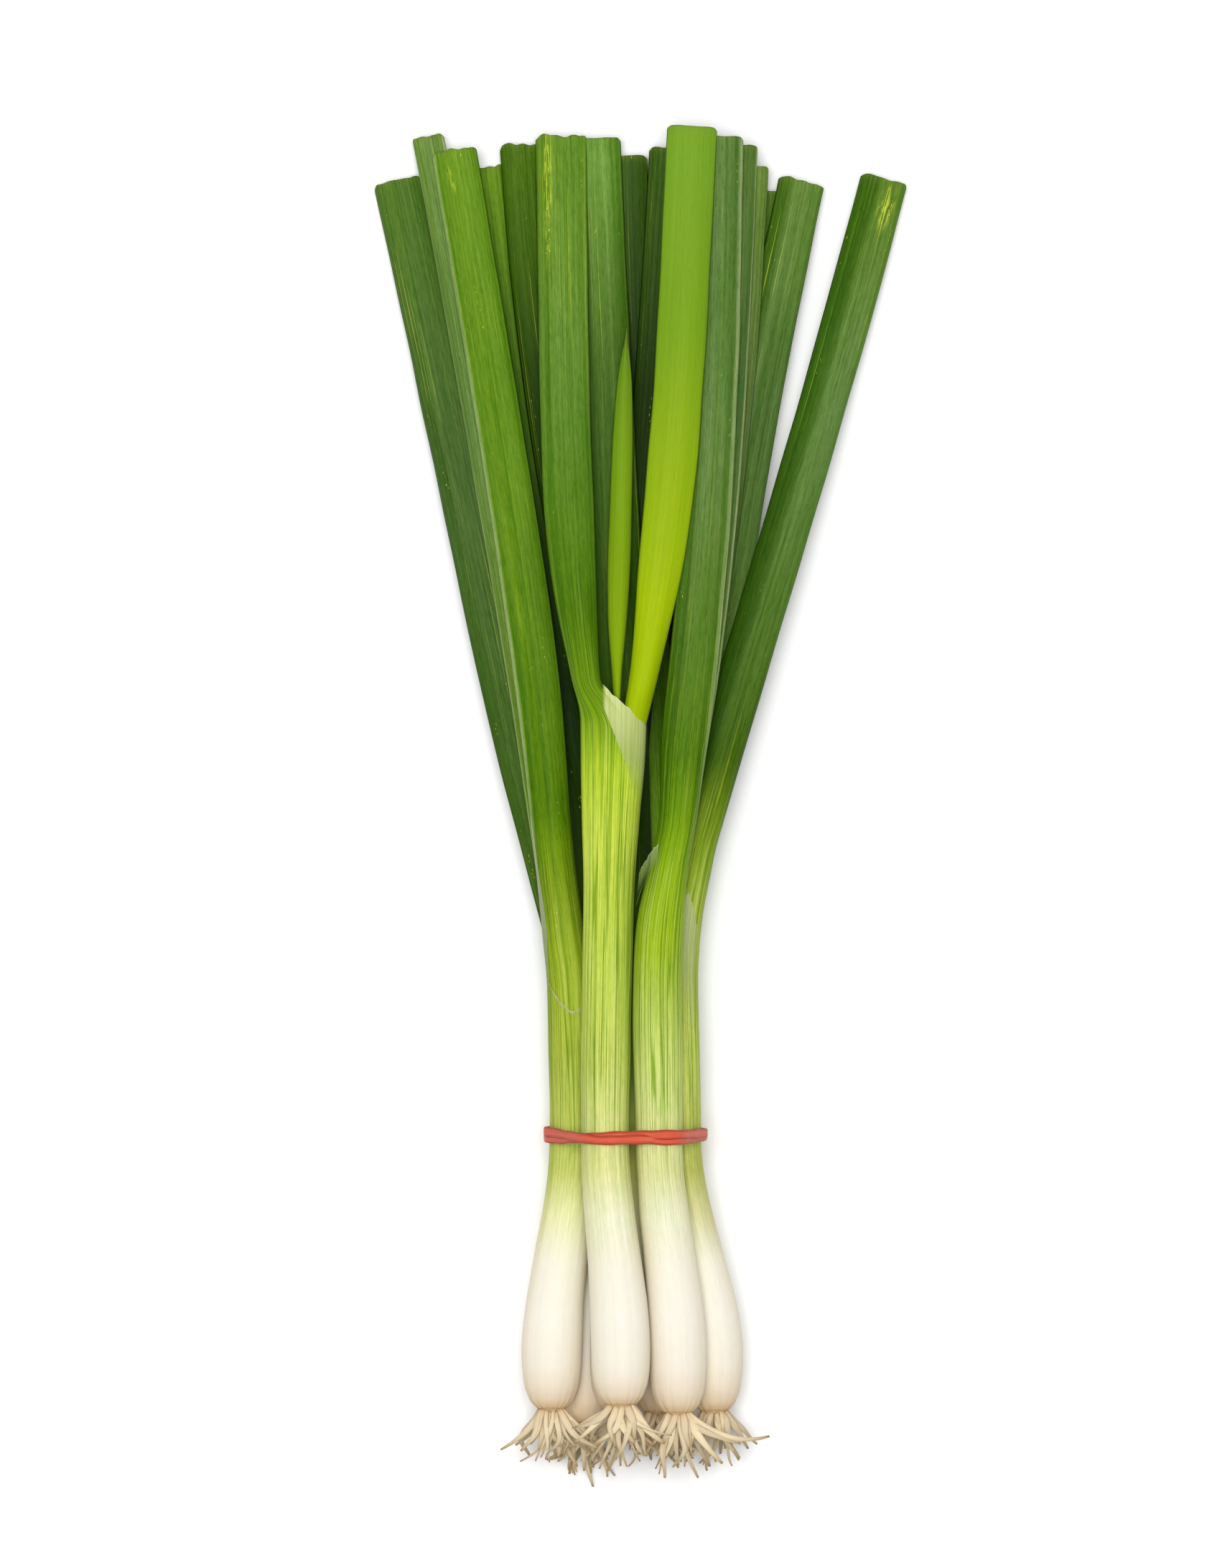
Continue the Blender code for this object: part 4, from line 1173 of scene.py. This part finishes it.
def add_flap(flap, seed):
    """A flap of dry skin as a thin closed sheet, laid on its stalk and fading out below its torn edge."""
    stalk = skins[flap.onion]
    skin = Whole(stalk) if flap.over_mouth else stalk
    share = np.linspace(0, 1, FILM_COLUMNS)
    stops = np.linspace(0, 1, len(flap.low))
    tear = Ripple(random.Random(seed), (2, 5, 9), 1.0).at(share, 0.0) * FILM_TEAR
    low = ALONG_START + np.interp(share, stops, flap.low)
    high = ALONG_START + np.interp(share, stops, flap.high) + tear
    s, t = np.meshgrid(share, np.linspace(0, 1, FILM_ROWS))
    y = low[None] + (high - low)[None] * t
    turn = flap.turns[0] + (flap.turns[1] - flap.turns[0]) * s
    top = drape(skin.points(y, turn, lift=flap.lift * (0.3 + 0.7 * t)), stalk.piece, FILM_GAP)
    under = top - np.array((0, 0, FILM_THICK))
    points = np.concatenate((top.reshape(-1, 3), under.reshape(-1, 3)))
    # The rim follows the torn upper edge, and the lower edge at the left.
    upper = 1 - np.clip((high[None] - y) / FILM_RIM_WIDTH, 0, 1)
    lower = 1 - np.clip((y - low[None]) / FILM_RIM_WIDTH, 0, 1)
    rim = np.maximum(upper, lower * np.clip(1.2 - 1.6 * s, 0, 1))
    side = np.clip(s * 20, 0, 1) if flap.over_mouth else np.clip(np.minimum(s, 1 - s) * 9, 0, 1)
    fading = ease(1 - (high[None] - y) / flap.fade) * (1 - 0.4 * s)
    alpha = flap.strength * side * np.maximum(fading, 0.8 * rim)
    tint = mix(np.broadcast_to(flap.tint, (*s.shape, 3)), FILM_RIM, rim * 0.6)
    grain = grain_of(turn, y - skin.start, skin.seed)
    marks = np.stack((alpha, alpha * 0, alpha * 0), axis=-1)
    looks = [np.tile(values.reshape(-1, 3), (2, 1)) for values in (tint, grain, marks)]
    piece = add_mesh(flap.name, points, film_faces(FILM_ROWS, FILM_COLUMNS), FILM, *looks)


for number, flap in enumerate(FLAPS):
    add_flap(flap, 71 + number)


# ---- floor and lights

FLOOR_REACH = 4.0
FLOOR_LEVEL = -0.2 * MM
WORLD_LIGHT = 0.42
KEY_PLACE = (-0.10, 0.14, 2.5)
KEY_SIZE = 1.1
KEY_POWER = 56


def link(name, data):
    """A new object in the scene."""
    obj = bpy.data.objects.new(name, data)
    bpy.context.scene.collection.objects.link(obj)
    return obj


def add_floor():
    mesh = bpy.data.meshes.new("floor")
    sides = ((-1, -1), (1, -1), (1, 1), (-1, 1))
    corners = [(x * FLOOR_REACH, y * FLOOR_REACH, FLOOR_LEVEL) for x, y in sides]
    mesh.from_pydata(corners, [], [(0, 1, 2, 3)])
    n = Nodes("paper_white", IOR=1.4, Specular_IOR_Level=0.1)
    grain = n.noise(n.node("TexCoord", "Object"), 300, 300, 2.0)
    shade = n.blend((0.93, 0.93, 0.93, 1), (0.95, 0.95, 0.95, 1), grain)
    mesh.materials.append(n.finish(shade, 0.9, grain, 0.02 * MM))
    link("floor", mesh)


def add_softbox():
    lamp = bpy.data.lights.new("key", "AREA")
    lamp.shape = "RECTANGLE"
    lamp.size = lamp.size_y = KEY_SIZE
    lamp.energy = KEY_POWER
    obj = link("key", lamp)
    obj.location = KEY_PLACE
    obj.rotation_mode = "QUATERNION"
    obj.rotation_quaternion = (-Vector(KEY_PLACE)).to_track_quat("-Z", "Y")
    obj.visible_camera = False


def add_world():
    world = bpy.data.worlds.new("studio")
    world.use_nodes = True
    background = world.node_tree.nodes["Background"]
    background.inputs["Color"].default_value = (1.0, 1.0, 1.0, 1.0)
    background.inputs["Strength"].default_value = WORLD_LIGHT
    bpy.context.scene.world = world


add_floor()
add_world()
add_softbox()

# ---- camera

LENS = 250.0
SENSOR = 36.0
CLIP = (0.1, 20.0)

# The view's height as a share of the bunch's length, and how far aside of its middle the camera stands, as
# shares of its width and length.
VIEW_HEIGHT = 1.1447
VIEW_ASIDE = (-0.0637, 0.0182)


def add_camera():
    low, high = (np.array(corner) for corner in CAD_BOX)
    size, middle = high - low, (low + high) / 2
    camera = bpy.data.cameras.new("camera")
    camera.sensor_width = SENSOR
    camera.lens = LENS
    camera.clip_start, camera.clip_end = CLIP
    obj = link("camera", camera)
    distance = size[1] * VIEW_HEIGHT * LENS / SENSOR
    obj.location = (*(middle[:2] + VIEW_ASIDE * size[:2]), middle[2] + distance)
    bpy.context.scene.camera = obj


add_camera()
bpy.context.scene.view_settings.view_transform = "Standard"
